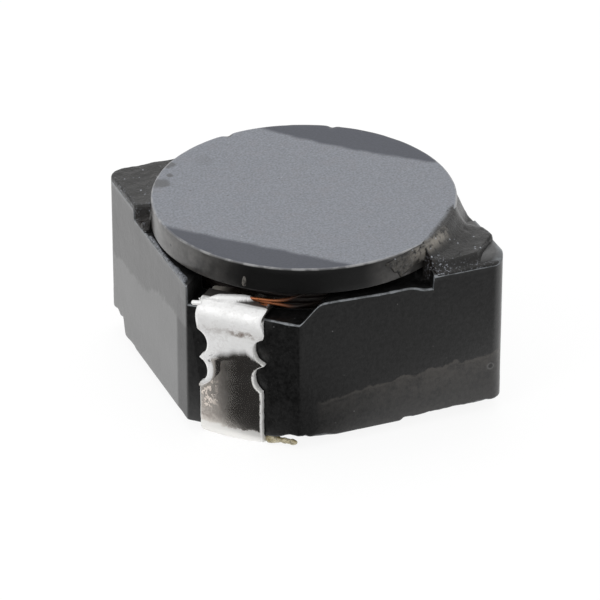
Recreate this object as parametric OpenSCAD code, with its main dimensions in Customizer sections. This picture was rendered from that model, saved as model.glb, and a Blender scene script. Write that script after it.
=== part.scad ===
// Shielded surface-mount inductor: a round drum core stands in a square ring core of ferrite.
// The coil sits on the drum, and each of its two ends is soldered to a strip terminal that
// wraps round a cut corner of the ring. Units are millimetres, +Z is up, and the origin is the
// middle of the footprint on the board.

/* [Ring core] */
// Outside width of the square ring
side = 7.0; // [6.6:0.1:7.6]
// Height of the ring's side walls
wall_h = 3.46; // [3.2:0.02:4]
// Wall thickness at the middle of each side, where the bore comes closest
wall_t = 0.42; // [0.34:0.02:0.5]
// Leg of the flat that is cut at each terminal corner
corner_cut = 1.95; // [1.8:0.05:2.1]
// Radius of the two corners that are not cut
corner_r = 0.35; // [0.2:0.05:0.5]
// Height of the two corner posts above the walls
post_rise = 0.27; // [0.2:0.01:0.4]
// Length of a post along each side
post_leg = 1.8; // [1.4:0.05:1.95]
// Depth of the wire notch below the top of the walls
notch_drop = 0.45; // [0.3:0.01:0.5]
// Width of full-height wall that is left at the blind end of the notch
notch_stop = 0.08; // [0.05:0.01:0.2]

/* [Drum core] */
// How far the upper flange's rim stays inside the ring's sides
flange_inset = 0.03; // [0.02:0.01:0.1]
// Thickness of the upper flange
flange_t = 0.65; // [0.5:0.05:0.8]
// Air gap between the ring's walls and the upper flange
flange_gap = 0.14; // [0.08:0.02:0.2]
// Clearance between the upper flange and the corner posts
post_gap = 0.13; // [0.1:0.01:0.2]
// Clearance between the lower flange and the bore
drum_gap = 0.15; // [0.1:0.01:0.2]
// Thickness of the lower flange
lower_t = 0.6; // [0.4:0.05:0.8]
// Diameter of the middle of the drum
core_d = 3.0; // [2.4:0.1:3.4]
// Bevel on the drum's edges
drum_bevel = 0.05; // [0.03:0.01:0.1]
// How far the drum's foot stays above the ring's underside
drum_lift = 0.05; // [0.02:0.01:0.1]

/* [Winding] */
// Diameter of the enamelled wire
wire_d = 0.12; // [0.08:0.02:0.14]
// Clearance between the coil and the lower flange, the middle of the drum and the upper flange
coil_gap = 0.03; // [0.02:0.01:0.06]
// Depth that is left free between the coil and the lower flange's rim
coil_margin = 0.1; // [0.05:0.05:0.3]

/* [Leads] */
// How far inside its flat the strands cross the notch
cross_in = 0.37; // [0.3:0.01:0.45]
// How far beside the strip the upper strand bends
upper_beside = 0.28; // [0.2:0.01:0.35]
// How far beside the strip the lower strand bends
lower_beside = 0.48; // [0.4:0.01:0.5]
// Distance between the two strands' bends, towards the coil
strand_in = 0.1; // [0.06:0.01:0.12]
// Drop of the lower strand between the tab and its bend, and again from there to the coil
strand_drop = 0.16; // [0.12:0.01:0.16]
// How far inside the flat the strands meet on the tab
join_in = 0.2; // [0.15:0.01:0.25]
// How far from the strip's middle the strands meet
join_along = 0.24; // [0:0.02:0.4]
// How far the wire's end stays inside the strip's outer face
end_in = 0.1; // [0.05:0.01:0.15]
// How far the wire's end sticks out past the strip's edge
end_out = 0.07; // [0:0.01:0.08]

/* [Terminals] */
// Thickness of the tinned copper strip
sheet_t = 0.2; // [0.12:0.02:0.24]
// Radius inside the strip's two bends
bend_r = 0.15; // [0.1:0.01:0.16]
// Width of the strip
strip_w = 1.5; // [1.3:0.05:1.8]
// Sideways offset of the strip on its flat
strip_shift = 0.18; // [0:0.02:0.28]
// Length of the foot under the part
foot_len = 1.5; // [1.1:0.1:1.9]
// Length of the tab over the wire notch
tab_len = 0.62; // [0.54:0.02:0.7]
// Depth of the scallops in the strip's edges
scallop_depth = 0.2; // [0.1:0.02:0.28]
// Distance between two scallops
scallop_pitch = 0.71; // [0.6:0.01:0.76]
// Height of the lowest scallop above the board
scallop_z = 1.77; // [1.3:0.01:1.8]
// Thickness of the glue under the strip
glue_t = 0.05; // [0.03:0.01:0.08]
// How far that glue stays inside the waists between the scallops
glue_inset = 0.05; // [0.02:0.01:0.1]
// How far that glue stays short of the ends of the foot and of the tab
glue_short = 0.15; // [0.1:0.01:0.2]

/* [Solder] */
// Thickness of the solder on the strip
solder_t = 0.08; // [0.05:0.01:0.1]
// How far the solder laps round the strip's edges at the top
solder_lap = 0.07; // [0.03:0.01:0.08]
// Height of the solder's lower edge above the board
solder_z = 2.33; // [2:0.01:2.6]
// Height that the solder's run reaches down one edge of the strip
run_z = 1.5; // [1.2:0.05:1.9]
// Width of the solder's run
run_w = 0.6; // [0.4:0.05:0.7]
// Length of the solder on the tab, in from its bend
solder_on_tab = 0.06; // [0.02:0.01:0.1]
// Radius of the solder round the wire
mound_r = 0.11; // [0.08:0.01:0.13]
// Clearance round the wire in the solder
wire_gap = 0.002; // [0.001:0.001:0.005]

/* [Adhesive] */
// Angle that each corner adhesive covers round the drum
fillet_angle = 54; // [30:1:60]
// How far below the flange's top the corner adhesive starts
fillet_drop = 0.04; // [0.02:0.01:0.2]
// Reach of the adhesive over the right post, measured from the flange
right_reach = 1.05; // [0.6:0.05:1.2]
// Height of the right adhesive above its post, halfway along its reach
right_heap = 0.16; // [0:0.02:0.3]
// Reach of the adhesive over the left post, measured from the flange
left_reach = 1.3; // [0.6:0.05:1.35]
// Height of the left adhesive above its post, halfway along its reach
left_heap = 0.24; // [0:0.02:0.3]
// Depth of the adhesive between the lower flange and the bore
base_glue_h = 0.35; // [0.2:0.05:0.5]
// Diameter of the adhesive bead that is squeezed out beside each foot
bead_d = 0.18; // [0.1:0.02:0.2]
// How far the bead stays inside the flat
bead_in = 0.04; // [0:0.01:0.1]

/* [Chips] */
// Length of the chip at the bottom of the left corner
chip_len = 1.0; // [0.6:0.05:1.3]
// Height of that chip
chip_h = 0.4; // [0.2:0.02:0.5]
// Depth of that chip into the corner
chip_depth = 0.7; // [0.3:0.05:0.8]
// Start of the shallow chip along the front face's lower edge, from the middle of the part
edge_chip_x = 0.95; // [0:0.05:1.5]
// Height of that shallow chip
edge_chip_h = 0.1; // [0.04:0.02:0.2]

/* [Hidden] */
$fn = 96;

FERRITE = [0.17, 0.17, 0.18];
COPPER = [0.62, 0.33, 0.16];
TIN = [0.78, 0.77, 0.74];
SOLDER = [0.85, 0.85, 0.83];
BLACK_EPOXY = [0.09, 0.09, 0.09];
AMBER_EPOXY = [0.62, 0.55, 0.34];

// A cut reaches this far past the solid that it cuts
past = 0.5;
// Fine enough for the wire
WIRE_FN = 24;

// Turns of the two terminal corners and of the two posts about Z
FRONT = 225;
REAR = 45;
LEFT = 135;
RIGHT = -45;

// Heights above the board
seat_z = sheet_t + glue_t;
wall_z = seat_z + wall_h;
post_z = wall_z + post_rise;
notch_z = wall_z - notch_drop;
drum_z = seat_z + drum_lift;
lower_z = drum_z + lower_t;
flange_z = wall_z + flange_gap;
top_z = flange_z + flange_t;

// Radii about Z, and the distance of each terminal flat from Z
bore_r = side / 2 - wall_t;
flange_r = side / 2 - flange_inset;
pocket_r = flange_r + post_gap;
lower_r = bore_r - drum_gap;
core_r = core_d / 2;
flat_x = (side - corner_cut) / sqrt(2);
flat_w = corner_cut * sqrt(2);

// The strip's outer face and the top of its tab, in a frame whose X axis points out of the flat
strip_x = flat_x + glue_t + sheet_t;
tab_z = notch_z + glue_t + sheet_t;
scallop_r = (pow(scallop_pitch / 2, 2) + pow(scallop_depth, 2)) / (2 * scallop_depth);

// The coil
wire_r = wire_d / 2;
coil_r = lower_r - coil_margin;
coil_low = lower_z + coil_gap;
coil_high = flange_z - coil_gap;
turns = floor((coil_high - coil_low) / (1.08 * wire_d));
turn_pitch = (coil_high - coil_low) / turns;

// Each end of the coil is two strands of wire, in the same frame as the strip. Both leave the
// coil along a tangent and meet on the tab, and the upper one runs on past the strip's edge.
lead_z = tab_z + wire_r + 0.01;
strip_edge_y = strip_w / 2 - strip_shift;
upper_out = [flat_x - cross_in, strip_edge_y + upper_beside, lead_z];
lower_out = [flat_x - cross_in - strand_in, strip_edge_y + lower_beside, lead_z - strand_drop];
lead_join = [flat_x - join_in, join_along - strip_shift, lead_z];
lead_end = [strip_x - end_in, strip_edge_y - strip_w - end_out, lead_z - 0.02];
lower_start_z = lead_z - 2 * strand_drop;

// ---- Ring core ----

// A square with rounded corners, of which two opposite ones are cut off by flats
module ring_outline() {
    straight = side - 2 * corner_r;
    intersection() {
        union() {
            square([straight, side], center = true);
            square([side, straight], center = true);
            for (x = [-1, 1], y = [-1, 1])
                translate([x, y] * straight / 2) circle(r = corner_r);
        }
        rotate(REAR) square([2 * flat_x, 2 * side], center = true);
    }
}

module post_squares() {
    for (s = [-1, 1])
        translate([s, -s] * (side - post_leg) / 2) square(post_leg, center = true);
}

// The wire notch: blind at one end of the flat, with a 45 degree ramp up the next side at the
// other, where the wire comes in
module wire_notch() {
    half = flat_w / 2;
    ramp = (notch_drop + past) / sqrt(2);
    translate([0, 0, notch_z])
        rotate([90, 0, 90])
            linear_extrude(side)
                polygon([
                    [notch_stop - half, 0], [half, 0],
                    [half + ramp, notch_drop + past], [notch_stop - half, notch_drop + past]
                ]);
}

// Where the lower edge of the ring has broken away: a bite at the left corner, and a long
// shallow flake along the front face
module broken_edges() {
    translate([0, side / 2 + past, 0])
        rotate([90, 0, 0])
            linear_extrude(chip_len + past)
                polygon([
                    [-side / 2 - past, seat_z - past],
                    [-side / 2 - past, seat_z + chip_h * (1 + past / chip_depth)],
                    [-side / 2 + chip_depth, seat_z],
                    [-side / 2 + chip_depth, seat_z - past]
                ]);
    flake = wall_t;
    translate([edge_chip_x, 0, 0])
        rotate([90, 0, 90])
            linear_extrude(side)
                polygon([
                    [-side / 2 - past, seat_z - past],
                    [-side / 2 - past, seat_z + edge_chip_h * (1 + past / flake)],
                    [-side / 2 + flake, seat_z],
                    [-side / 2 + flake, seat_z - past]
                ]);
}

module ring_core() {
    color(FERRITE)
        difference() {
            translate([0, 0, seat_z]) {
                linear_extrude(wall_h) ring_outline();
                linear_extrude(wall_h + post_rise)
                    intersection() {
                        ring_outline();
                        post_squares();
                    }
            }
            translate([0, 0, seat_z - past]) cylinder(r = bore_r, h = wall_h + post_rise + 2 * past);
            translate([0, 0, wall_z]) cylinder(r = pocket_r, h = post_rise + past);
            for (turn = [FRONT, REAR]) rotate(turn) wire_notch();
            broken_edges();
        }
}

// ---- Drum core ----

// One piece of ferrite: a lower flange in the bore, the middle that carries the coil, and the
// wide upper flange above the ring's walls
module drum_core() {
    b = drum_bevel;
    color(FERRITE)
        rotate_extrude()
            polygon([
                [0, drum_z], [lower_r - b, drum_z], [lower_r, drum_z + b],
                [lower_r, lower_z], [core_r, lower_z], [core_r, flange_z],
                [flange_r - b, flange_z], [flange_r, flange_z + b],
                [flange_r, top_z - b], [flange_r - b, top_z], [0, top_z]
            ]);
}

// ---- Winding ----

module wire_length(from, to, d) {
    along = to - from;
    length = norm(along);
    translate(from)
        rotate([0, acos(along[2] / length), atan2(along[1], along[0])])
            cylinder(d = d, h = length, $fn = WIRE_FN);
}

// A bent wire, with a knuckle at each bend that is a little fuller than the wire
module strand(points) {
    for (i = [1 : len(points) - 1]) wire_length(points[i - 1], points[i], wire_d);
    for (i = [1 : len(points) - 2]) translate(points[i]) sphere(d = 1.05 * wire_d, $fn = WIRE_FN);
}

// The point of the coil's outside, at height z, from which a straight wire reaches p
function leaving_point(p, z) =
    let (r = coil_r - wire_r, turn = atan2(p[1], p[0]) + acos(r / norm([p[0], p[1]])))
    [r * cos(turn), r * sin(turn), z];

module leads() {
    strand([leaving_point(upper_out, coil_high - wire_r), upper_out, lead_join, lead_end]);
    strand([leaving_point(lower_out, lower_start_z), lower_out, lead_join]);
}

// The coil is one ring whose outside shows its turns
module winding() {
    turn_r = 0.54 * turn_pitch;
    color(COPPER) {
        rotate_extrude() {
            translate([core_r + coil_gap, coil_low])
                square([coil_r - turn_r - core_r - coil_gap, coil_high - coil_low]);
            for (i = [0 : turns - 1])
                translate([coil_r - turn_r, coil_low + (i + 0.5) * turn_pitch])
                    circle(r = turn_r, $fn = WIRE_FN);
        }
        for (turn = [FRONT, REAR]) rotate(turn) leads();
    }
}

// ---- Terminals ----

// The section of what wraps the corner, seen along the flat, from low to high and out to x,
// with its two outer corners rounded
module wrap_section(x, low, high, r) {
    translate([0, low]) square([x - r, high - low]);
    translate([0, low + r]) square([x, high - low - 2 * r]);
    for (z = [low + r, high - r]) translate([x - r, z]) circle(r = r);
}

module strip_inner_section() {
    wrap_section(strip_x - sheet_t, sheet_t, tab_z - sheet_t, bend_r);
}

// The part of a section that lies round the corner, between the ends of its foot and its tab
module trim_section(foot, tab) {
    difference() {
        children();
        translate([-past, -past]) square([flat_x - foot + past, notch_z + past]);
        translate([-past, notch_z - past]) square([flat_x - tab + past, side]);
    }
}

// Gives a section its width along the flat, centred on the strip
module across(w) {
    translate([0, w / 2 - strip_shift, 0])
        rotate([90, 0, 0])
            linear_extrude(w) children();
}

// Gives an outline, drawn as the strip is seen from outside, a depth from x outwards
module outwards(x) {
    translate([x, -strip_shift, 0])
        rotate([90, 0, 90])
            linear_extrude(side) children();
}

module scallop_outline() {
    for (s = [-1, 1], i = [0, 1])
        translate([s * (strip_w / 2 - scallop_depth + scallop_r), scallop_z + i * scallop_pitch])
            circle(r = scallop_r, $fn = 48);
}

// The strip: a foot under the part, an upright with scalloped edges, and a tab over the notch
module terminal() {
    color(TIN)
        difference() {
            across(strip_w)
                trim_section(foot_len, tab_len)
                    difference() {
                        wrap_section(strip_x, 0, tab_z, bend_r + sheet_t);
                        strip_inner_section();
                    }
            outwards(flat_x) scallop_outline();
        }
}

// The thin glue between the strip and the ferrite, and the bead beside the foot
module terminal_adhesive() {
    bead_r = bead_d / 2;
    color(AMBER_EPOXY) {
        across(strip_w - 2 * scallop_depth - 2 * glue_inset)
            trim_section(foot_len - glue_short, flat_x - bore_r - glue_short)
                difference() {
                    strip_inner_section();
                    translate([0, seat_z]) square([flat_x, notch_z - seat_z]);
                }
        translate([flat_x - bead_r - bead_in, strip_edge_y, seat_z - bead_r])
            rotate([-90, 0, 0])
                cylinder(r = bead_r, h = flat_w / 2 - strip_edge_y, $fn = WIRE_FN);
    }
}

// ---- Solder ----

// What the solder covers, seen from outside: the strip's upper end, a little past its edges,
// and below that the strip itself, with a run down one edge
module solder_outline() {
    full_z = scallop_z + 1.5 * scallop_pitch;
    half = strip_w / 2;
    translate([-half - solder_lap, full_z]) square([strip_w + 2 * solder_lap, side]);
    difference() {
        polygon([
            [-half, run_z], [run_w / 4 - half, run_z + run_w / 4], [run_w - half, solder_z],
            [half, solder_z], [half, full_z + wire_gap], [-half, full_z + wire_gap]
        ]);
        scallop_outline();
    }
}

// Solder flows over the strip's upper end and holds the strands on the tab
module solder() {
    bend = bend_r + sheet_t;
    tail = lead_end - lead_join;
    color(SOLDER)
        difference() {
            union() {
                intersection() {
                    across(strip_w + 2 * solder_lap)
                        trim_section(foot_len, solder_on_tab)
                            difference() {
                                wrap_section(strip_x + solder_t, 0, tab_z + solder_t, bend + solder_t);
                                wrap_section(strip_x, 0, tab_z, bend);
                            }
                    outwards(0) solder_outline();
                }
                difference() {
                    wire_length(lead_join + 0.05 * tail, lead_join + 0.8 * tail, 2 * mound_r);
                    translate([0, -side / 2, tab_z - side]) cube(side);
                }
            }
            wire_length(lead_join - tail, lead_end + tail, wire_d + 2 * wire_gap);
        }
}

// ---- Adhesive ----

// Epoxy in the gap between the upper flange and a post, heaped into a fillet over the post
module corner_adhesive(reach, heap) {
    start = top_z - fillet_drop;
    color(BLACK_EPOXY)
        intersection() {
            rotate(-fillet_angle / 2)
                rotate_extrude(angle = fillet_angle)
                    polygon([
                        [flange_r, wall_z], [pocket_r, wall_z], [pocket_r, post_z],
                        [flange_r + reach, post_z], [flange_r + reach / 2, post_z + heap],
                        [flange_r, start]
                    ]);
            rotate(-RIGHT) translate([0, 0, wall_z]) linear_extrude(top_z - wall_z) ring_outline();
        }
}

// Epoxy between the lower flange and the bore
module base_adhesive() {
    color(AMBER_EPOXY)
        translate([0, 0, seat_z])
            difference() {
                cylinder(r = bore_r, h = base_glue_h);
                translate([0, 0, -past]) cylinder(r = lower_r, h = base_glue_h + 2 * past);
            }
}

ring_core();
drum_core();
winding();
rotate(FRONT) terminal();  // terminal_front
rotate(REAR) terminal();  // terminal_rear
rotate(FRONT) solder();  // solder_front
rotate(REAR) solder();  // solder_rear
rotate(FRONT) terminal_adhesive();  // terminal_adhesive_front
rotate(REAR) terminal_adhesive();  // terminal_adhesive_rear
rotate(LEFT) corner_adhesive(left_reach, left_heap);  // corner_adhesive_left
rotate(RIGHT) corner_adhesive(right_reach, right_heap);  // corner_adhesive_right
base_adhesive();
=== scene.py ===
# %% [markdown]
# # A shielded surface-mount inductor
#
# The part is a round ferrite drum that stands in a square ferrite ring. A coil of enamelled
# wire sits on the drum, and each of its two ends is soldered to a tinned strip that wraps
# round a cut corner of the ring. Black epoxy holds the drum to the two corners that aren't cut.
#
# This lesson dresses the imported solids: every solid gets a finer surface worked out with
# numpy, and a finish made of shader nodes. All shapes are worked out in millimetres, because
# the part is only 7 mm wide, and turned into metres when a mesh is made.

import math

import bmesh
import bpy
import numpy as np
from mathutils import Matrix, Vector


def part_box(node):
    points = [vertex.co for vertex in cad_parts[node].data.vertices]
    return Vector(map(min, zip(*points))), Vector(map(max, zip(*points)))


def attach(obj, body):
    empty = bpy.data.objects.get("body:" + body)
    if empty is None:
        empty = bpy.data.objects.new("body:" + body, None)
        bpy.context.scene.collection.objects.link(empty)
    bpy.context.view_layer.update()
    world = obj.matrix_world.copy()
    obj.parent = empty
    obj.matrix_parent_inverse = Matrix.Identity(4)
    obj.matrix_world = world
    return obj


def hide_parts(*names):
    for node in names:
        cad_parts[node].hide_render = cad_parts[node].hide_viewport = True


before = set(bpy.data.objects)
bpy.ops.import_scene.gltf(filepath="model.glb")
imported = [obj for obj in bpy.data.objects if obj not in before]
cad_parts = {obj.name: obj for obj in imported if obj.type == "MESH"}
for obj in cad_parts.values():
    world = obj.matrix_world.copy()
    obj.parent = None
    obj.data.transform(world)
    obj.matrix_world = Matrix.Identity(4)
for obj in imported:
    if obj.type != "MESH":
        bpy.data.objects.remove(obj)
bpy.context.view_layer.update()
print("solids:", sorted(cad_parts))

# %% [markdown]
# ## Sizes
#
# The boxes of the solids give the main heights and radii, so a change in the solids moves
# the dressed surfaces with them. The rest are the part's own design values: wall thickness,
# leg of the cut corner, bend radius and so on.

# %% Sizes of the part in millimetres
MM = 0.001


def box_mm(node):
    """The lowest and highest corner of a solid, in millimetres."""
    low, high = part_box(node)
    return np.array(low) / MM, np.array(high) / MM


ring_low, ring_high = box_mm("ring_core")
drum_low, drum_high = box_mm("drum_core")
strip_low, strip_high = box_mm("terminal_front")
base_high = box_mm("base_adhesive")[1]

HALF = ring_high[0]
SEAT_Z, POST_Z = ring_low[2], ring_high[2]
DRUM_Z, TOP_Z = drum_low[2], drum_high[2]
FLANGE_R = drum_high[0]
TAB_Z = strip_high[2]
BORE_R = base_high[0]

POST_RISE, POST_LEG, POCKET_R = 0.27, 1.8, FLANGE_R + 0.13
WALL_Z = POST_Z - POST_RISE
NOTCH_Z = WALL_Z - 0.45
FLANGE_T, LOWER_T, LOWER_R, CORE_R = 0.65, 0.6, BORE_R - 0.15, 1.5
FLANGE_Z, LOWER_Z = TOP_Z - FLANGE_T, DRUM_Z + LOWER_T

CORNER_CUT, CORNER_R = 1.95, 0.35
FLAT_X = (2 * HALF - CORNER_CUT) / math.sqrt(2)
FLAT_HALF = CORNER_CUT / math.sqrt(2)

STRIP_W, SHEET_T, BEND_R, FOOT_LEN, TAB_LEN = 1.5, 0.2, 0.35, 1.5, 0.62
STRIP_X = (-math.sqrt(2) * (strip_low[0] + strip_low[1]) - STRIP_W) / 2
STRIP_Y = (strip_low[0] - strip_low[1]) / math.sqrt(2)
print(f"strip face {STRIP_X:.3f} mm from the middle, shifted {STRIP_Y:.3f} mm along its flat")

# %% [markdown]
# ## Camera
#
# A small part looks natural from far away through a long lens, which keeps its edges nearly
# parallel. The camera looks down about 30 degrees onto the cut corner.

# %% Camera
AZIMUTH, ELEVATION, DISTANCE = math.radians(-22), math.radians(29.6), 100.65
back = Vector(
    (
        math.sin(AZIMUTH) * math.cos(ELEVATION),
        -math.cos(AZIMUTH) * math.cos(ELEVATION),
        math.sin(ELEVATION),
    )
)
right = Vector((math.cos(AZIMUTH), math.sin(AZIMUTH), 0))
up = back.cross(right)
target = Vector((0, 0, 2.35)) - 0.0915 * right - 0.526 * up

camera_data = bpy.data.cameras.new("camera")
camera_data.lens, camera_data.sensor_width, camera_data.clip_start = 264, 36, 0.001
camera = bpy.data.objects.new("camera", camera_data)
bpy.context.scene.collection.objects.link(camera)
turn = Matrix((right, up, back)).transposed().to_4x4()
camera.matrix_world = Matrix.Translation((target + DISTANCE * back) * MM) @ turn
bpy.context.scene.camera = camera
print("camera at", [round(c, 1) for c in target + DISTANCE * back], "mm")

# %% [markdown]
# ## Surfaces from grids
#
# Every piece is one or more grids of points: a first direction along or round the piece, and
# a second one round its section. Grids are easy to think about, because a shape is then
# only a formula of two numbers. A grid may close on itself in either direction, and an
# end is closed by letting the section shrink to a point. Where points fall together, the
# mesh is welded, and a mesh that came out inside out is turned round by the sign of its volume.


# %% Mesh making
def grid_faces(n, m, round_first, round_second):
    """Numbers of the four corners of each face of an n by m grid."""
    first = np.arange(n if round_first else n - 1)[:, None]
    second = np.arange(m if round_second else m - 1)[None, :]
    here, there = first * m, (first + 1) % n * m
    side = (second + 1) % m
    corners = (here + second, there + second, there + side, here + side)
    return np.stack(np.broadcast_arrays(*corners), -1).reshape(-1, 4)


def signed_volume(points, faces):
    """Six times the volume, as the sum of the corner products of each face's two triangles."""
    a, b, c, d = (points[faces[:, i]] for i in range(4))
    return (np.cross(a, b) * c).sum() + (np.cross(a, c) * d).sum()


def make_piece(name, node, grids, material, sharp=40):
    """One mesh object, in place of a solid's node, from grids with their points joined to faces.

    Each grid is (points, closes first way, closes second way, marks). Marks are numbers kept at
    the points for the finishes to read, as {name: one for each point}. Edges whose faces meet
    at more than the sharp angle stay sharp."""
    points, faces, start = [], [], 0
    marks = {key: [] for _, _, _, given in grids for key in given}
    for grid, round_first, round_second, given in grids:
        n, m = grid.shape[:2]
        flat = grid.reshape(-1, 3)
        quads = grid_faces(n, m, round_first, round_second)
        if signed_volume(flat - flat.mean(0), quads) < 0:
            quads = quads[:, ::-1]
        points.append(flat)
        faces.append(quads + start)
        for key, values in marks.items():
            values.append(np.broadcast_to(given.get(key, 0.0), (n, m)).reshape(-1))
        start += n * m
    mesh = bpy.data.meshes.new(name)
    mesh.from_pydata((np.concatenate(points) * MM).tolist(), [], np.concatenate(faces).tolist())
    for key, values in marks.items():
        kept = mesh.attributes.new(key, "FLOAT", "POINT")
        kept.data.foreach_set("value", np.concatenate(values).astype(np.float32))
    weld = bmesh.new()
    weld.from_mesh(mesh)
    bmesh.ops.remove_doubles(weld, verts=weld.verts, dist=2e-7)
    bmesh.ops.dissolve_degenerate(weld, edges=weld.edges, dist=1e-8)
    weld.to_mesh(mesh)
    open_edges = sum(not e.is_manifold for e in weld.edges)
    weld.free()
    mesh.shade_smooth()
    mesh.set_sharp_from_angle(angle=math.radians(sharp))
    piece = bpy.data.objects.new(name, mesh)
    bpy.context.scene.collection.objects.link(piece)
    mesh.materials.append(material)
    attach(piece, "root")
    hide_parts(node)
    print(f"{name}: {len(mesh.polygons)} faces, {open_edges} open edges")


# %% [markdown]
# ## Roughness without a sculptor
#
# Ferrite is pressed and fired powder, epoxy is dabbed on, and solder freezes as it likes, so
# nothing is quite even. Smooth random heights give all of them their unevenness: a random
# number at each corner of a cubic lattice, blended inside each cell. Layers of it at half the
# size and half the height add finer detail.


# %% Random heights
def random_corner(i, j, k, seed):
    """A fixed random number from 0 to 1 for each whole-number corner, by mixing its bits."""
    h = (i * 374761393 + j * 668265263 + k * 2147483647 + seed * 1274126177) & 0xFFFFFFFF
    h = ((h ^ (h >> 13)) * 1274126177) & 0xFFFFFFFF
    h = ((h ^ (h >> 16)) * 668265263) & 0xFFFFFFFF
    return (h ^ (h >> 15)) / 0xFFFFFFFF


def lumps(points, size, seed):
    """Smooth random heights from -1 to 1. Inside a cell each way counts as 3t squared less 2t cubed."""
    q = np.asarray(points, float) / size
    cell = np.floor(q).astype(np.int64)
    t = q - cell
    t = t * t * (3 - 2 * t)
    total = 0
    for di in (0, 1):
        for dj in (0, 1):
            for dk in (0, 1):
                weight = np.abs(1 - di - t[..., 0]) * np.abs(1 - dj - t[..., 1]) * np.abs(1 - dk - t[..., 2])
                total = total + weight * random_corner(
                    cell[..., 0] + di, cell[..., 1] + dj, cell[..., 2] + dk, seed
                )
    return 2 * total - 1


def layered(points, size, seed, layers=3):
    """Lumps plus finer lumps, each layer half the size and half the height of the last."""
    return sum(lumps(points, size / 2**i, seed + i) / 2**i for i in range(layers)) / (2 - 2 / 2**layers)


def rise(value, low, high):
    """0 below low, 1 above high, and the smooth step 3t squared less 2t cubed between."""
    t = np.clip((value - low) / (high - low), 0, 1)
    return t * t * (3 - 2 * t)


def lesser(a, b, soft):
    """The lesser of two heights, with the corner between them rounded."""
    return (a + b - np.sqrt((a - b) ** 2 + soft**2)) / 2


def dome(t):
    """The quarter circle that goes from 0 at t = 0 to 1 at t = 1: a liquid's edge."""
    t = np.clip(t, 0, 1)
    return np.sqrt(np.clip(1 - (1 - t) ** 2, 0, 1))


def turned(points, degrees):
    """Points turned about the upright axis: x takes the cosine's share and y the sine's."""
    c, s = math.cos(math.radians(degrees)), math.sin(math.radians(degrees))
    x, y, z = points[..., 0], points[..., 1], points[..., 2]
    return np.stack([c * x - s * y, s * x + c * y, z], -1)


def polar(r, degrees, z):
    """Points at a distance from the upright axis, an angle round it and a height."""
    angle = np.radians(degrees)
    return np.stack(np.broadcast_arrays(r * np.cos(angle), r * np.sin(angle), z), -1)


def through(value, *points):
    """The height at a value of the line that runs straight from one point (place, height) to the next."""
    places, heights = zip(*points)
    return np.interp(value, places, heights)


print("a few random heights:", lumps(np.array([[0.1, 0.2, 0.3], [1.5, 0, 0]]), 0.4, 1).round(3))

# %% [markdown]
# ## Shader maths as plain arithmetic
#
# A node tree is easier to read as a sum than as boxes and lines. Signal holds one output of a
# node, and adding or multiplying signals adds the Math nodes. Finish is one material: its
# node method makes any other node from its type, its settings and its inputs.


# %% Signal and Finish
class Signal:
    """One output socket, with plain arithmetic that adds Math nodes."""

    def __init__(self, finish, socket):
        """Keeps the socket, and the finish whose node tree it is in."""
        self.finish, self.socket = finish, socket

    def maths(self, operation, first, second):
        """A Math node on two signals or numbers."""
        return self.finish.node("ShaderNodeMath", {"operation": operation}, [first, second])

    def __add__(self, other):
        """Their sum."""
        return self.maths("ADD", self, other)

    def __sub__(self, other):
        """This less the other."""
        return self.maths("SUBTRACT", self, other)

    def __rsub__(self, other):
        """The other less this."""
        return self.maths("SUBTRACT", other, self)

    def __mul__(self, other):
        """Their product."""
        return self.maths("MULTIPLY", self, other)

    __radd__, __rmul__ = __add__, __mul__

    def high(self, other):
        """The higher of the two."""
        return self.maths("MAXIMUM", self, other)

    def rise(self, low, high):
        """0 below low, 1 above high, smooth between."""
        inputs = {"Value": self, "From Min": low, "From Max": high}
        return self.finish.node("ShaderNodeMapRange", {"interpolation_type": "SMOOTHSTEP"}, inputs)

    def part(self, name):
        """One number of a vector: X, Y or Z."""
        return self.finish.node("ShaderNodeSeparateXYZ", {}, [self], name)


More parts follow.
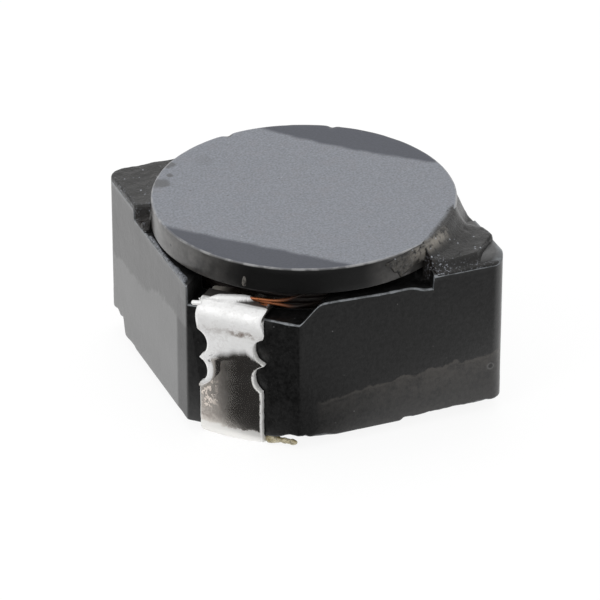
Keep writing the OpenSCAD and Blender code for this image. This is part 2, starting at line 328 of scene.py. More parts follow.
class Finish:
    """One material, or the world's own shader, built up from signals."""

    def __init__(self, name, world=None):
        """Starts with an empty node tree that has only its output."""
        self.material = world or bpy.data.materials.new(name)
        self.material.use_nodes = True
        self.tree = self.material.node_tree
        self.tree.nodes.clear()
        self.out = self.tree.nodes.new("ShaderNodeOutputWorld" if world else "ShaderNodeOutputMaterial")

    def node(self, kind, settings=None, inputs=(), output=0):
        """Any node: its settings are set first, then each input gets a value or a link."""
        made = self.tree.nodes.new(kind)
        for key, value in (settings or {}).items():
            setattr(made, key, value)
        pairs = inputs.items() if isinstance(inputs, dict) else enumerate(inputs)
        for key, value in pairs:
            if isinstance(value, Signal):
                self.tree.links.new(value.socket, made.inputs[key])
            elif value is not None:
                made.inputs[key].default_value = value
        return Signal(self, made.outputs[output])

    def place(self, scale=1.0):
        """The point on the piece in millimetres, times a scale."""
        spot = self.node("ShaderNodeTexCoord", output="Object")
        return self.node("ShaderNodeVectorMath", {"operation": "SCALE"}, {0: spot, "Scale": scale / MM})

    def parts(self):
        """The three numbers of the point on the piece."""
        spot = self.place()
        return spot.part("X"), spot.part("Y"), spot.part("Z")

    def noise(self, size, detail=3.0, roughness=0.55):
        """Noise from 0 to 1, with features of a size in millimetres."""
        inputs = {"Vector": self.place(), "Scale": 1 / size, "Detail": detail, "Roughness": roughness}
        return self.node("ShaderNodeTexNoise", {}, inputs)

    def cells(self, size, stretch=1.0):
        """Distance to the nearest of a set of random points, a size in millimetres apart."""
        inputs = {"Vector": self.place(stretch), "Scale": 1 / size}
        return self.node("ShaderNodeTexVoronoi", {"feature": "F1"}, inputs, "Distance")

    def mark(self, name="painted_light"):
        """A number that is kept at each point of the mesh."""
        return self.node("ShaderNodeAttribute", {"attribute_name": name}, output="Fac")

    def near(self, centre, reach, ragged=0.0):
        """1 close to a point in millimetres and 0 beyond its reach, with a ragged border."""
        apart = self.node("ShaderNodeVectorMath", {"operation": "DISTANCE"}, [self.place(), centre], 1)
        if ragged:
            apart = apart + (self.noise(reach * 0.8, 3) - 0.5) * ragged
        return 1 - apart.rise(reach * 0.5, reach)

    def blend(self, amount, first, second):
        """The first colour where amount is 0 and the second where it is 1."""
        return self.node("ShaderNodeMix", {"data_type": "RGBA"}, {0: amount, 6: first, 7: second}, 2)

    def bump(self, height, depth):
        """Shading that follows a height, whose full range is a depth in millimetres."""
        inputs = {"Height": height, "Distance": depth * MM, "Strength": 1.0}
        return self.node("ShaderNodeBump", {}, inputs)

    def surface(self, **sockets):
        """The Principled shader, with sockets named in words joined by underscores."""
        inputs = {key.replace("_", " "): value for key, value in sockets.items()}
        shader = self.node("ShaderNodeBsdfPrincipled", {}, inputs)
        self.tree.links.new(shader.socket, self.out.inputs["Surface"])
        return self.material


def grey(level, warmth=0.0):
    """A grey as a colour of the shader, a little warmer or cooler."""
    return (level * (1 + warmth), level, level * (1 - warmth), 1)


print("grey of a wall:", grey(0.04))

# %% [markdown]
# ## Floor, world and lamps
#
# A small black and shiny part shows its surroundings more than its own colour. The part lies
# on white card under soft lamps, but in front of it the room is dark: there the mirror-like
# faces turn black. The camera sees plain white card with a soft shadow. Reflections see white
# card behind and beside the part, and dark in front of it.


# %% Floor
# Seen from above, the direction from the part towards the camera
AHEAD_X, AHEAD_Y = -0.375, -0.927


def ahead_and_beside(vector):
    """How far a vector reaches towards the camera, and how far to the camera's right."""
    x, y = vector.part("X"), vector.part("Y")
    return x * AHEAD_X + y * AHEAD_Y, x * -AHEAD_Y + y * AHEAD_X


def floor_finish():
    """Mixes of three looks: plain white for the camera, white or dark for reflections, by the
    distance ahead of the part, and plain card for the light that it passes on."""
    made = Finish("white_card")
    path = made.node("ShaderNodeLightPath", output="Is Camera Ray")
    glossy = made.node("ShaderNodeLightPath", output="Is Glossy Ray")
    ahead, beside = ahead_and_beside(made.place())
    paler = beside.rise(0.5, 3.0) * (1 - ahead.rise(8, 10)) * 0.33
    dark = ahead.rise(3.5, 4.2) * (1 - ahead.rise(17, 25)) * (1 - paler)
    lit = made.node("ShaderNodeBsdfDiffuse", {}, {"Color": grey(0.14)})
    glow = made.node("ShaderNodeEmission", {}, {"Color": grey(0.89)})
    seen = made.node("ShaderNodeAddShader", {}, [lit, glow])
    mirrored = made.node("ShaderNodeEmission", {}, {"Color": made.blend(dark, grey(1.3), grey(0.03))})
    plain = made.node("ShaderNodeBsdfDiffuse", {}, {"Color": grey(0.88)})
    others = made.node("ShaderNodeMixShader", {}, [glossy, plain, mirrored])
    both = made.node("ShaderNodeMixShader", {}, [path, others, seen])
    made.tree.links.new(both.socket, made.out.inputs["Surface"])
    return made.material


radii, angles = np.array([[0, 4, 8, 16, 32, 64, 128, 256.0]]), np.arange(0, 360, 5)[:, None]
card = polar(radii, angles, 0.0)
card_faces = grid_faces(*card.shape[:2], True, False)[:, ::-1]
floor_mesh = bpy.data.meshes.new("floor")
floor_mesh.from_pydata((card.reshape(-1, 3) * MM).tolist(), [], card_faces.tolist())
floor_mesh.materials.append(floor_finish())
floor = bpy.data.objects.new("floor", floor_mesh)
bpy.context.scene.collection.objects.link(floor)
print("floor:", len(floor_mesh.polygons), "faces")


# %% World
def surroundings():
    """White for the camera, and for other rays a level that falls low down in front."""
    world = bpy.data.worlds.new("studio")
    bpy.context.scene.world = world
    made = Finish("studio", world)
    way = made.node("ShaderNodeTexCoord", output="Generated")
    glossy = made.node("ShaderNodeLightPath", output="Is Glossy Ray")
    camera_ray = made.node("ShaderNodeLightPath", output="Is Camera Ray")
    ahead, _ = ahead_and_beside(way)
    front = ahead.rise(-0.05, 0.35) * (1 - way.part("Z").rise(0.0, 0.25))
    level = camera_ray + (1 - camera_ray) * (glossy * (1 - front * 0.8) + (1 - glossy) * 0.72)
    sky = made.node("ShaderNodeBackground", {}, {"Color": level})
    made.tree.links.new(sky.socket, made.out.inputs["Surface"])


surroundings()


# %% Lamps
def softbox(name, where, size, level):
    """A square lamp that faces the part. Its power is its brightness times pi times its area."""
    data = bpy.data.lights.new(name, "AREA")
    data.shape, data.size = "SQUARE", size * MM
    data.energy = level * math.pi * (size * MM) ** 2
    lamp = bpy.data.objects.new(name, data)
    spot = Vector(where) * MM
    lamp.matrix_world = Matrix.Translation(spot) @ spot.to_track_quat("Z", "Y").to_matrix().to_4x4()
    bpy.context.scene.collection.objects.link(lamp)
    print(f"{name}: {data.energy * 1000:.2f} mW")


softbox("lamp_above", (10, 30, 90), 60, 1.3)
softbox("lamp_left", (-80, 30, 45), 40, 0.9)
softbox("lamp_front", (-62, -32, 48), 26, 3.6)

# %% [markdown]
# ## Ferrite
#
# Ferrite is a black ceramic. Its pressed sides have a fine grain and a faint dust, and their
# lower part is paler below a ragged line. A painted sheen makes the left face pale, and a
# painted highlight lightens the edges. The upper face of the drum is ground flat, which leaves it paler and
# satin.


# %% Finishes of the two ferrites
# A round pit in the right face, and the height where the paler lower band ends without noise
PIT = (HALF - 0.37, -HALF, 1.21)
BAND_Z = 0.98
# Stains on the drum's face, and a speck on its rim: place, reach, ragged border and strength
STAINS = (
    ((-2.83, 1.73, TOP_Z), 0.30, 0.2, 1.0),
    ((-2.34, 2.50, TOP_Z), 0.20, 0.2, 1.0),
    ((-2.50, 2.00, TOP_Z), 0.11, 0.1, 1.0),
    ((-1.50, 2.40, TOP_Z), 0.30, 0.3, 0.25),
)
RIM_SPECK = (-3.42, -0.53, 4.16)


def ring_finish():
    """Black with a fine grain. Below a line, whose crest is noise, lies a paler band.

    The left face is pale all over, as a painted sheen, the posts' tops are grey, the edges carry
    a painted highlight, and there are white specks and a pit with painted shade in its middle.
    The cut corners stay black: there x times y is large."""
    made = Finish("pressed_ferrite")
    x, y, height = made.parts()
    grain, cloud, mottle = made.noise(0.06, 4), made.noise(0.9, 4), made.noise(0.2, 4)
    fine = made.noise(0.10, 4, 0.7)
    left = (0 - x).rise(3.2, 3.45)
    crest = made.noise(0.6, 4, 0.6) * 0.50 + mottle * 0.16 + left * (1.15 + (0 - y).rise(-1.5, 0.2) * 0.5)
    tide = height - BAND_Z - crest - x * 0.07
    below = 1 - tide.rise(-0.03 - left * 0.10, 0.03)
    line = below * tide.rise(-0.10, -0.03) * (1 - left)
    faint = (0.35 + tide.rise(-0.75, -0.05) * 0.65) * (0.30 + x.rise(-1.8, 1.8) * 0.70)
    band = below * faint * (0.15 + mottle.rise(0.30, 0.65) * 0.6 + fine * 0.3)
    flat = 1 - (x * y).rise(3.4, 4.0) * (1 - height.rise(NOTCH_Z - 0.05, NOTCH_Z))
    specks = made.cells(0.28).rise(0.075, 0.035) * made.noise(0.5, 1).rise(0.5, 0.6)
    hole = made.near(PIT, 0.07, 0.03)
    crater = (made.near(PIT, 0.12, 0.05) - hole) * 0.30
    post_top = height.rise(POST_Z - 0.13, POST_Z - 0.05) * (0.6 + grain * 0.4)
    # Painted highlight: where the edge mark is high, the edges are made grey, broken by noise
    worn = made.mark() * (0.40 + made.noise(0.15, 3).rise(0.40, 0.60) * 0.45)
    base = made.blend(fine.rise(0.25, 0.75) * 0.8 + cloud * 0.2, grey(0.0005), grey(0.016))
    base = made.blend((band + line * 0.4) * flat, base, grey(0.047, 0.10))
    # Painted sheen: the left face is made pale, most of all below the band's line
    base = made.blend(left * (0.13 + below * 0.87) * flat, base, grey(0.155))
    base = made.blend(post_top, base, grey(0.085))
    base = made.blend(worn, base, grey(0.28, -0.06))
    base = made.blend((specks * 0.5).high(crater), base, grey(0.22))
    # Painted shade: the middle of the pit is made nearly black
    base = made.blend(hole * 0.8, base, grey(0.004))
    rough = 0.25 + cloud * 0.08 + below * 0.10 + grain * 0.06
    bumps = made.bump(grain * 0.6 + made.noise(0.3, 3) * 0.9, 0.006)
    return made.surface(Base_Color=base, Roughness=rough, Normal=bumps, Specular_IOR_Level=0.5)


def drum_finish():
    """Ground grey on top, with a darker segment at the front and at the rear.

    Each segment starts at a distance from the middle, measured across the cut corners. The
    side is black with a painted sheen to the left and at the front right, and a painted
    highlight on the rim, stains and pits lie over all."""
    made = Finish("ground_ferrite")
    x, y, height = made.parts()
    grain, cloud, mottle = made.noise(0.05, 2, 0.6), made.noise(1.1, 4), made.noise(0.35, 4, 0.6)
    across = (x + y) * (-1 / math.sqrt(2))
    along = (x - y) * (1 / math.sqrt(2))
    wobble = made.noise(0.5, 3) * 0.16 - 0.08
    front = (across + wobble).rise(2.50, 2.68)
    rear = (wobble - across - along * along * 0.03).rise(2.38, 2.56)
    top = height.rise(TOP_Z - 0.03, TOP_Z - 0.015)
    darker_segment = front.high(rear) * top
    face = top * (1 - darker_segment)
    ground = made.blend(grain, (0.080, 0.086, 0.098, 1), (0.336, 0.356, 0.402, 1))
    ground = made.blend(mottle.rise(0.45, 0.70) * 0.18, ground, (0.215, 0.198, 0.208, 1))
    smooth = made.blend(grain, (0.034, 0.038, 0.051, 1), (0.070, 0.076, 0.099, 1))
    # Painted sheen: the side is made paler to the left and at the front right
    side_sheen = (0 - x).rise(2.3, 3.3).high(x.rise(-0.1, 0.9) * (0 - y).rise(2.9, 3.3))
    side = made.blend(cloud, grey(0.002), grey(0.007))
    side = made.blend(side_sheen * (0.15 + mottle.rise(0.3, 0.7) * 0.35), side, grey(0.16, 0.05))
    base = made.blend(top, side, made.blend(darker_segment, ground, smooth))
    pits, chips = made.cells(0.55).rise(0.060, 0.030), made.cells(0.42, 1.07).rise(0.055, 0.030)
    base = made.blend(pits * 0.6 * face, base, grey(0.07))
    base = made.blend(chips * 0.4 * face, base, grey(0.55))
    stain = top * 0
    for place, reach, ragged, strength in STAINS:
        stain = stain.high(made.near(place, reach, ragged) * strength)
    base = made.blend(stain * 0.70 * top, base, grey(0.065))
    # Painted highlight: the rim is made pale grey, broken by noise
    edge = made.mark().rise(0.72, 0.90)
    base = made.blend(edge * (0.20 + made.noise(0.3, 3).rise(0.42, 0.62) * 0.45), base, grey(0.42))
    base = made.blend(made.near(RIM_SPECK, 0.045), base, grey(0.004))
    rough = 0.27 + top * 0.20 + cloud * 0.08
    bumps = made.bump(grain * (0.5 - face * 0.3), 0.004)
    return made.surface(Base_Color=base, Roughness=rough, Normal=bumps, Specular_IOR_Level=0.5)


RING_FERRITE, DRUM_FERRITE = ring_finish(), drum_finish()
print("finishes:", RING_FERRITE.name, DRUM_FERRITE.name)

# %% [markdown]
# ## Ring core
#
# The ring could be a square with a hole and a few cuts, but then its edges would be razor
# sharp. Instead one section is carried once round the outline: up the outer face, over a
# small rounded edge, across the top and down the bore. Height formulas for the top and the
# underside give it the posts, the wire notches with their ramps, and the broken places.


# %% Heights of the ring's top and underside
def flat_frame(x, y):
    """Distance out along the nearest cut corner's direction, and sideways to its right."""
    side = -np.sign(x + y)
    return np.abs(x + y) / math.sqrt(2), side * (x - y) / math.sqrt(2)


def ring_top(x, y):
    """Walls, raised where a post stands, and never higher than the notch's ledge and ramp."""
    points = np.stack([x, y, 0 * x], -1)
    inside = np.minimum(np.abs(x), np.abs(y)) - (HALF - POST_LEG)
    post = rise(inside, -0.02, 0.02) * (x * y < 0) * rise(np.hypot(x, y), POCKET_R - 0.02, POCKET_R + 0.02)
    front = rise(-y, 2.9, 3.1)
    dip = front * (1 - post) * (0.07 * rise(x, -1.2, 0.8) + 0.12 * rise(x, 1.1, 1.6))
    slump = 0.17 * (1 - rise(HALF + y, 0.0, 0.35)) * rise(x, HALF - POST_LEG - 0.02, HALF - POST_LEG)
    height = WALL_Z + POST_RISE * post + 0.008 * layered(points, 0.4, 3) - dip - slump
    _, side = flat_frame(x, y)
    ramp = 1.4 * (np.sqrt(np.clip(side - FLAT_HALF, 0, None) ** 2 + 0.0016) - 0.04)
    stop = 5 * rise(-side, FLAT_HALF - 0.10, FLAT_HALF - 0.06)
    return lesser(height, NOTCH_Z + ramp + stop + 0.006 * layered(points, 0.2, 9), 0.07)


def ring_under(x, y):
    """The flat underside, raised where the left corner and the front edge have broken away."""
    points = np.stack([x, y, 0 * x], -1)
    ragged = layered(points, 0.25, 21)
    bite = np.clip((-2.8 - x) / 0.7, 0, 1) * 0.4 * rise(y, 2.42, 2.58)
    flake = np.clip((-BORE_R - y) / 0.42, 0, 1) * rise(x, 0.9, 1.05) * (0.085 + 0.05 * ragged)
    out, side = flat_frame(x, y)
    worn = 0.17 * np.exp(-(((side - FLAT_HALF) / 0.4) ** 2)) * np.clip((out - 2.9) / 0.6, 0, 1)
    return SEAT_Z + bite * (1 + 0.25 * ragged) + np.clip(flake, 0, None) + worn * (1 + 0.4 * ragged)


print("ledge", round(float(ring_top(np.array([-2.4]), np.array([-2.4]))[0]), 2), "mm high")


# %% Outline of the ring
def ring_stations(count):
    """Points of the outline and of the bore that belong together, for one trip round the ring.

    Half the trip is the front face, a rounded corner, the right face and the rear flat, and the
    other half is the same turned by 180 degrees. Stations crowd where the top steps up or down."""
    longer = 0.11  # the right face is this much longer, and its flat that much shorter
    face = 2 * HALF - CORNER_CUT - CORNER_R
    arc, flat = math.pi / 2 * CORNER_R, 2 * FLAT_HALF
    faces_end = 2 * face + arc
    half_way = faces_end + flat
    post_at = 2 * HALF - CORNER_CUT - POST_LEG
    steps = [post_at, faces_end - post_at, faces_end + 0.08, 0.64, 0, face, face + arc, faces_end]
    fine = np.linspace(0, half_way, 4000)
    apart = fine[:, None] - np.array(steps)[None, :]
    apart = (apart + half_way / 2) % half_way - half_way / 2
    crowd = 1 + (5 * np.exp(-((apart / 0.05) ** 2))).sum(1)
    total = np.concatenate([[0], np.cumsum((crowd[1:] + crowd[:-1]) / 2)])
    s = np.interp(np.linspace(0, total[-1], count // 2 + 1)[:-1], total, fine)

    a, b = np.clip(s, 0, face), np.clip(s - face, 0, arc) / CORNER_R
    c, d = np.clip(s - face - arc, 0, face), np.clip(s - faces_end, 0, flat) / math.sqrt(2)
    x = CORNER_CUT - HALF + a + CORNER_R * np.sin(b) - d
    y = -HALF + CORNER_R * (1 - np.cos(b)) + c * (1 + longer / face) + d * (1 - longer / CORNER_CUT)

    spread = math.degrees(math.asin(FLAT_HALF / BORE_R))
    near = math.degrees(math.acos((HALF - POST_LEG) / BORE_R))
    angle = np.radians(through(
        s, (0, 225 + spread), (HALF - CORNER_CUT, 270), (post_at, 360 - near), (face + arc / 2, 315),
        (faces_end - post_at, 270 + near), (face + arc + HALF - CORNER_R, 360),
        (faces_end, 405 - spread), (half_way, 405 + spread),
    ))
    outer, inner = np.stack([x, y], -1), BORE_R * np.stack([np.cos(angle), np.sin(angle)], -1)
    return np.concatenate([outer, -outer]), np.concatenate([inner, -inner])


def soften(line, reach):
    """Rounds a closed line's corners: each point becomes the mean of its neighbours by distance."""
    step = np.linalg.norm(np.roll(line, -1, 0) - line, axis=1)
    place = np.concatenate([[0], np.cumsum(step)[:-1]])
    apart = place[:, None] - place[None, :]
    apart = (apart + step.sum() / 2) % step.sum() - step.sum() / 2
    weight = np.exp(-((apart / reach) ** 2)) * (step + np.roll(step, 1))[None, :]
    return weight @ line / weight.sum(1, keepdims=True)


outer_line, inner_line = ring_stations(900)
outer_line = soften(outer_line, 0.045)
print("outline of", len(outer_line), "stations")


# %% The ring's surface
# The points of the section that lie on the outer face, clear of its rounded foot
ON_FACE = slice(16, 40)


def ring_grid(outer, inner):
    """A section carried round the outline. Each of its points is a distance inwards and a height."""
    across = inner - outer
    wall = np.linalg.norm(across, axis=1)[:, None]
    inward = across / wall
    near = np.stack([outer[:, 0], outer[:, 1], 0 * outer[:, 0]], -1)
    crumble = layered(near, 0.35, 31)[:, None]
    top_r = 0.038 + 0.04 * np.clip(crumble - 0.15, 0, None)
    low_r = 0.04 + 0.10 * np.clip(layered(near, 0.5, 41)[:, None] - 0.1, 0, None)
    # Where the line inwards crosses the pocket round the flange
    reach = np.hypot(outer[:, 0], outer[:, 1])[:, None]
    pocket = np.clip(wall * (reach - POCKET_R) / (reach - BORE_R), 0.3 * wall, 0.9 * wall)

    bend = np.radians(np.linspace(0, 90, 6))[None, :]
    before = top_r + (pocket - 0.035 - top_r) * np.linspace(0, 1, 9)[None, 1:]
    step = pocket + np.array([-0.02, -0.008, 0.008, 0.02, 0.035])[None, :]
    after = pocket + 0.035 + (wall - pocket - 0.065) * np.linspace(0, 1, 6)[None, 1:]

    def at(inwards):
        """The x and y of points at distances inwards from the outline."""
        spot = outer[:, None, :] + inward[:, None, :] * inwards[..., None]
        return spot[..., 0], spot[..., 1]

    parts, painted_light = [], []

    def add(inwards, height, worn=0.0):
        """Adds points of the section, with their share of painted highlight."""
        inwards, height = np.broadcast_arrays(inwards, height)
        x, y = at(inwards)
        parts.append(np.stack([x, y, height], -1))
        painted_light.append(np.broadcast_to(worn, inwards.shape))

    under = wall + (low_r - wall) * np.linspace(0, 1, 8)[None, :]
    add(under, ring_under(*at(under)))
    inwards = low_r * (1 - np.sin(bend[:, 1:-1]))
    add(inwards, ring_under(*at(inwards)) + low_r * (1 - np.cos(bend[:, 1:-1])), 0.35)
    foot = ring_under(*at(0 * wall)) + low_r
    head = ring_top(*at(0 * wall)) - top_r
    add(0 * wall, foot + (head - foot) * np.linspace(0, 1, 28)[None, :])
    inwards = top_r * (1 - np.cos(bend[:, 1:]))
    add(inwards, ring_top(*at(inwards)) - top_r * (1 - np.sin(bend[:, 1:])), 1.0)
    for inwards in (before, step, after):
        add(inwards, ring_top(*at(inwards)))
    inwards = wall - 0.03 * (1 - np.sin(bend[:, ::-1]))[:, 1:]
    add(inwards, ring_top(*at(inwards)) - 0.03 * (1 - np.cos(bend[:, ::-1]))[:, 1:][:, ::-1], 0.4)
    low = ring_under(*at(wall))
    high = ring_top(*at(wall)) - 0.03
    add(wall, high + (low - high) * np.linspace(0, 1, 9)[None, 1:-1])
    grid = np.concatenate(parts, 1)
    shrink = 0.006 * (1 + layered(grid[:, ON_FACE], 0.7, 51)) / 2
    grid[:, ON_FACE, :2] += inward[:, None, :] * shrink[..., None]
    grid[..., :2] = np.clip(grid[..., :2], -HALF, HALF)
    return grid, np.concatenate(painted_light, 1)


ring_points, ring_painted_light = ring_grid(outer_line, inner_line)
ring_points[..., 2] = np.clip(ring_points[..., 2], SEAT_Z, POST_Z)
# The mark puts a painted highlight on the rounded edges of the ring
ring_grids = [(ring_points, True, True, {"painted_light": ring_painted_light})]
make_piece("ring_surface", "ring_core", ring_grids, RING_FERRITE)

# %% [markdown]
# ## Drum core
#
# The drum is a turned shape, so it is a profile carried round a circle: the lower flange, the
# thin middle and the wide upper flange. Small bites out of the upper rim show that ferrite
# chips like glass.


# %% The drum's surface
def rounded(corners, radius, steps=5):
    """A line through corners (r, z), with each inner corner replaced by a short curve.

    The curve blends the two cut points and the corner by the weights (1 - t) squared, t squared
    and 2 t (1 - t)."""
    corners = np.array(corners, float)
    line = [corners[:1]]
    for before, here, after in zip(corners[:-2], corners[1:-1], corners[2:]):
        a, b = before - here, after - here
        cut = min(radius, 0.45 * np.linalg.norm(a), 0.45 * np.linalg.norm(b))
        start, end = here + a / np.linalg.norm(a) * cut, here + b / np.linalg.norm(b) * cut
        t = np.linspace(0, 1, steps)[:, None]
        line.append((1 - t) ** 2 * start + 2 * t * (1 - t) * here + t**2 * end)
    line.append(corners[-1:])
    return np.concatenate(line)


def filled(line, gap):
    """The same line with more points, so that none are further apart than a gap."""
    step = np.linalg.norm(np.diff(line, axis=0), axis=1)
    pieces = [
        a + (b - a) * np.linspace(0, 1, max(1, math.ceil(d / gap)) + 1)[:-1, None]
        for a, b, d in zip(line[:-1], line[1:], step)
    ]
    return np.concatenate(pieces + [line[-1:]])


def spun(profile, count):
    """A profile (r, z) carried round the upright axis in equal steps."""
    angle = np.linspace(0, 2 * math.pi, count, endpoint=False)[:, None]
    r, z = profile[None, :, 0], profile[None, :, 1]
    return np.stack([r * np.cos(angle), r * np.sin(angle), z + 0 * angle], -1)


# The glue that is smeared on the drum's top needs a little room under the part's full height
FILM = 0.01
drum_corners = [
    (0, DRUM_Z), (LOWER_R, DRUM_Z), (LOWER_R, LOWER_Z), (CORE_R, LOWER_Z), (CORE_R, FLANGE_Z),
    (FLANGE_R, FLANGE_Z), (FLANGE_R, TOP_Z - FILM), (0, TOP_Z - FILM),
]
drum_points = spun(filled(rounded(drum_corners, 0.035), 0.16), 420)
angle = np.arctan2(drum_points[..., 1], drum_points[..., 0])
radius = np.hypot(drum_points[..., 0], drum_points[..., 1])
height = drum_points[..., 2]
rim = np.exp(-(((radius - FLANGE_R) / 0.08) ** 2) - ((height - TOP_Z + FILM) / 0.08) ** 2)
bites = 0.008 * np.clip(layered(drum_points, 0.3, 61) - 0.3, 0, None)
# Four larger bites: their angle and half their width in degrees, and their depth
for degrees, width, depth in ((99, 1.8, 0.035), (57, 1.4, 0.028), (-150, 2.0, 0.015), (-60, 1.0, 0.015)):
    apart = np.degrees(np.abs((angle - math.radians(degrees) + math.pi) % (2 * math.pi) - math.pi))
    bites = bites + depth * np.exp(-((apart / width) ** 2))
drum_points[..., 2] -= bites * rim
uneven = 0.004 * (1 + layered(drum_points, 0.5, 71)) * (radius > LOWER_R)
drum_points[..., :2] *= (1 - (bites * rim + uneven) / np.clip(radius, 0.1, None))[..., None]
# The rim's mark says where its painted highlight goes
drum_grids = [(drum_points, True, False, {"painted_light": rim})]
make_piece("drum_surface", "drum_core", drum_grids, DRUM_FERRITE, 50)

# %% [markdown]
# ## Coil and leads
#
# The coil is hidden but for the strands that leave it, so its outer layer is a ribbed drum
# whose ribs climb by one wire for each turn, which looks like a wound wire and costs little.
# The strands are round wires carried along bent lines.


# %% Copper finish and the wire maker
def copper_finish():
    """Copper that varies between two browns under a clear coat, and turns black in the shade.

    The mark says how far a point is in the open, from 0 at the coil to 1 at the solder."""
    made = Finish("enamelled_copper")
    tint = made.noise(0.25, 3)
    base = made.blend(tint, (0.26, 0.075, 0.025, 1), (0.46, 0.16, 0.055, 1))
    base = made.blend(made.noise(0.08, 2).rise(0.6, 0.75) * 0.5, base, (0.12, 0.05, 0.02, 1))
    open_air = made.mark()
    base = made.blend(open_air, (0.010, 0.005, 0.003, 1), base)
    return made.surface(
        Base_Color=base, Roughness=0.5 + tint * 0.2 - open_air * 0.2, Metallic=open_air * 0.85,
        Normal=made.bump(made.noise(0.06, 3), 0.004), Coat_Weight=open_air * 0.4, Coat_Roughness=0.15,
    )


COPPER = copper_finish()


def carried(line, widths, sides=12):
    """A round section carried along a line. Its ends shrink to points.

    The section's two directions are level and square to the line, and square to both."""
    line = np.asarray(line, float)
    widths = np.broadcast_to(widths, len(line))
    along = np.gradient(line, axis=0)
    along /= np.linalg.norm(along, axis=1, keepdims=True)
    side = np.cross(along, [0, 0, 1.0])
    side /= np.linalg.norm(side, axis=1, keepdims=True)
    over = np.cross(side, along)
    line, side, over = (np.concatenate([v[:1], v, v[-1:]]) for v in (line, side, over))
    widths = np.concatenate([[0], widths, [0]])
    turn = np.linspace(0, 2 * math.pi, sides, endpoint=False)[None, :, None]
    around = side[:, None] * np.cos(turn) + over[:, None] * np.sin(turn)
    return line[:, None] + around * widths[:, None, None]


# %% The coil
WIRE_R, TURNS = 0.06, 22
COIL_R, COIL_LOW, COIL_HIGH = LOWER_R - 0.1, LOWER_Z + 0.03, FLANGE_Z - 0.03
PITCH = (COIL_HIGH - COIL_LOW) / TURNS
# Two strands cross each notch: how far inside the flat they bend, how much further in the lower
# one does, how far beside the strip each bends, and the lower one's drop at each bend
CROSS_IN, STRAND_IN, UPPER_BESIDE, LOWER_BESIDE, STRAND_DROP = 0.37, 0.1, 0.28, 0.48, 0.16
# Where they join on the tab, inside the flat and along the strip, and how far the joined wire's
# end stays inside the strip's face and sticks out past its edge
JOIN_IN, JOIN_ALONG, END_IN, END_OUT = 0.2, 0.24, 0.1, 0.07


def coil_grid():
    """Rings of half circles, whose height grows by one pitch a turn, between two flat ends."""
    angle = np.linspace(0, 2 * math.pi, 168, endpoint=False)[:, None]
    z = np.linspace(COIL_LOW, COIL_HIGH, TURNS * 8 + 1)[None, :]
    place = ((z - COIL_LOW) / PITCH - angle / (2 * math.pi)) % 1
    rib = np.sqrt(np.clip(1 - ((place - 0.5) / 0.52) ** 2, 0, 1))
    r = COIL_R - PITCH / 2 + rib * PITCH / 2
    outside = np.stack([r * np.cos(angle), r * np.sin(angle), z + 0 * angle], -1)
    core = CORE_R + 0.03
    inside = [spun(np.array([[core, h]]), 168) for h in (COIL_HIGH, COIL_LOW)]
    return np.concatenate([outside, *inside], 1)


def lead_points():
    """The bends of the upper and the lower strand at a cut corner that faces +x.

    Each strand leaves the coil along the tangent that runs to its first bend: there the angle
    past the bend's own has the coil's radius over the bend's distance as its cosine."""
    lead_z, edge = TAB_Z + WIRE_R + 0.01, STRIP_W / 2 + STRIP_Y
    upper = np.array([FLAT_X - CROSS_IN, edge + UPPER_BESIDE, lead_z])
    lower = np.array([FLAT_X - CROSS_IN - STRAND_IN, edge + LOWER_BESIDE, lead_z - STRAND_DROP])
    join = np.array([FLAT_X - JOIN_IN, JOIN_ALONG + STRIP_Y, lead_z])
    end = np.array([STRIP_X - END_IN, edge - STRIP_W - END_OUT, lead_z - 0.02])
    strands = []
    for bends, z in (((upper, join, end), COIL_HIGH - WIRE_R), ((lower, join), lead_z - 2 * STRAND_DROP)):
        r, first = COIL_R - WIRE_R, bends[0]
        angle = math.atan2(first[1], first[0]) + math.acos(r / math.hypot(first[0], first[1]))
        strands.append([polar(r, math.degrees(angle), z), *bends])
    return strands


def shown(bends):
    """The bends of the part of a strand that shows: its end is sunk in the solder."""
    return bends[:3] + [bends[2] + 0.4 * (b - bends[2]) for b in bends[3:]]


strands = []
for turn in (225, 45):
    for bends in lead_points():
        line = filled(rounded(shown(bends), 0.16, 9), 0.03)
        sway = 0.012 * np.stack([lumps(line, 0.3, seed) for seed in (5, 6, 7)], -1)
        line = line + sway * rise(np.arange(len(line)) / len(line), 0, 0.1)[:, None]
        tube = carried(line, 0.65 * WIRE_R)
        bright = 1 - rise(tube[..., 1], 0.50, 1.15)
        strands.append((turned(tube, turn), False, True, {"painted_light": bright}))
winding_grids = [(coil_grid(), True, True, {}), *strands]
make_piece("winding_surface", "winding", winding_grids, COPPER, 60)

# %% [markdown]
# ## Strip terminals
#
# Each terminal is a strip of tinned copper, bent twice round the cut corner: a foot under the
# part, an upright with two scallops in each edge, and a tab over the wire notch. A flat
# section is carried along the bent line, and its width changes with the height. Stamped
# metal has slightly rolled edges and small dents, and its tin is bright and a little greasy.


# %% The bent line of the strip
FOOT, BEND = STRIP_X - BEND_R - (FLAT_X - FOOT_LEN), math.pi / 2 * BEND_R
UPRIGHT, TAB = TAB_Z - 2 * BEND_R, STRIP_X - BEND_R - (FLAT_X - TAB_LEN)
UPRIGHT_AT, TAB_AT = FOOT + BEND, FOOT + 2 * BEND + UPRIGHT
PATH_LENGTH = TAB_AT + TAB
SCALLOP_R = 0.415


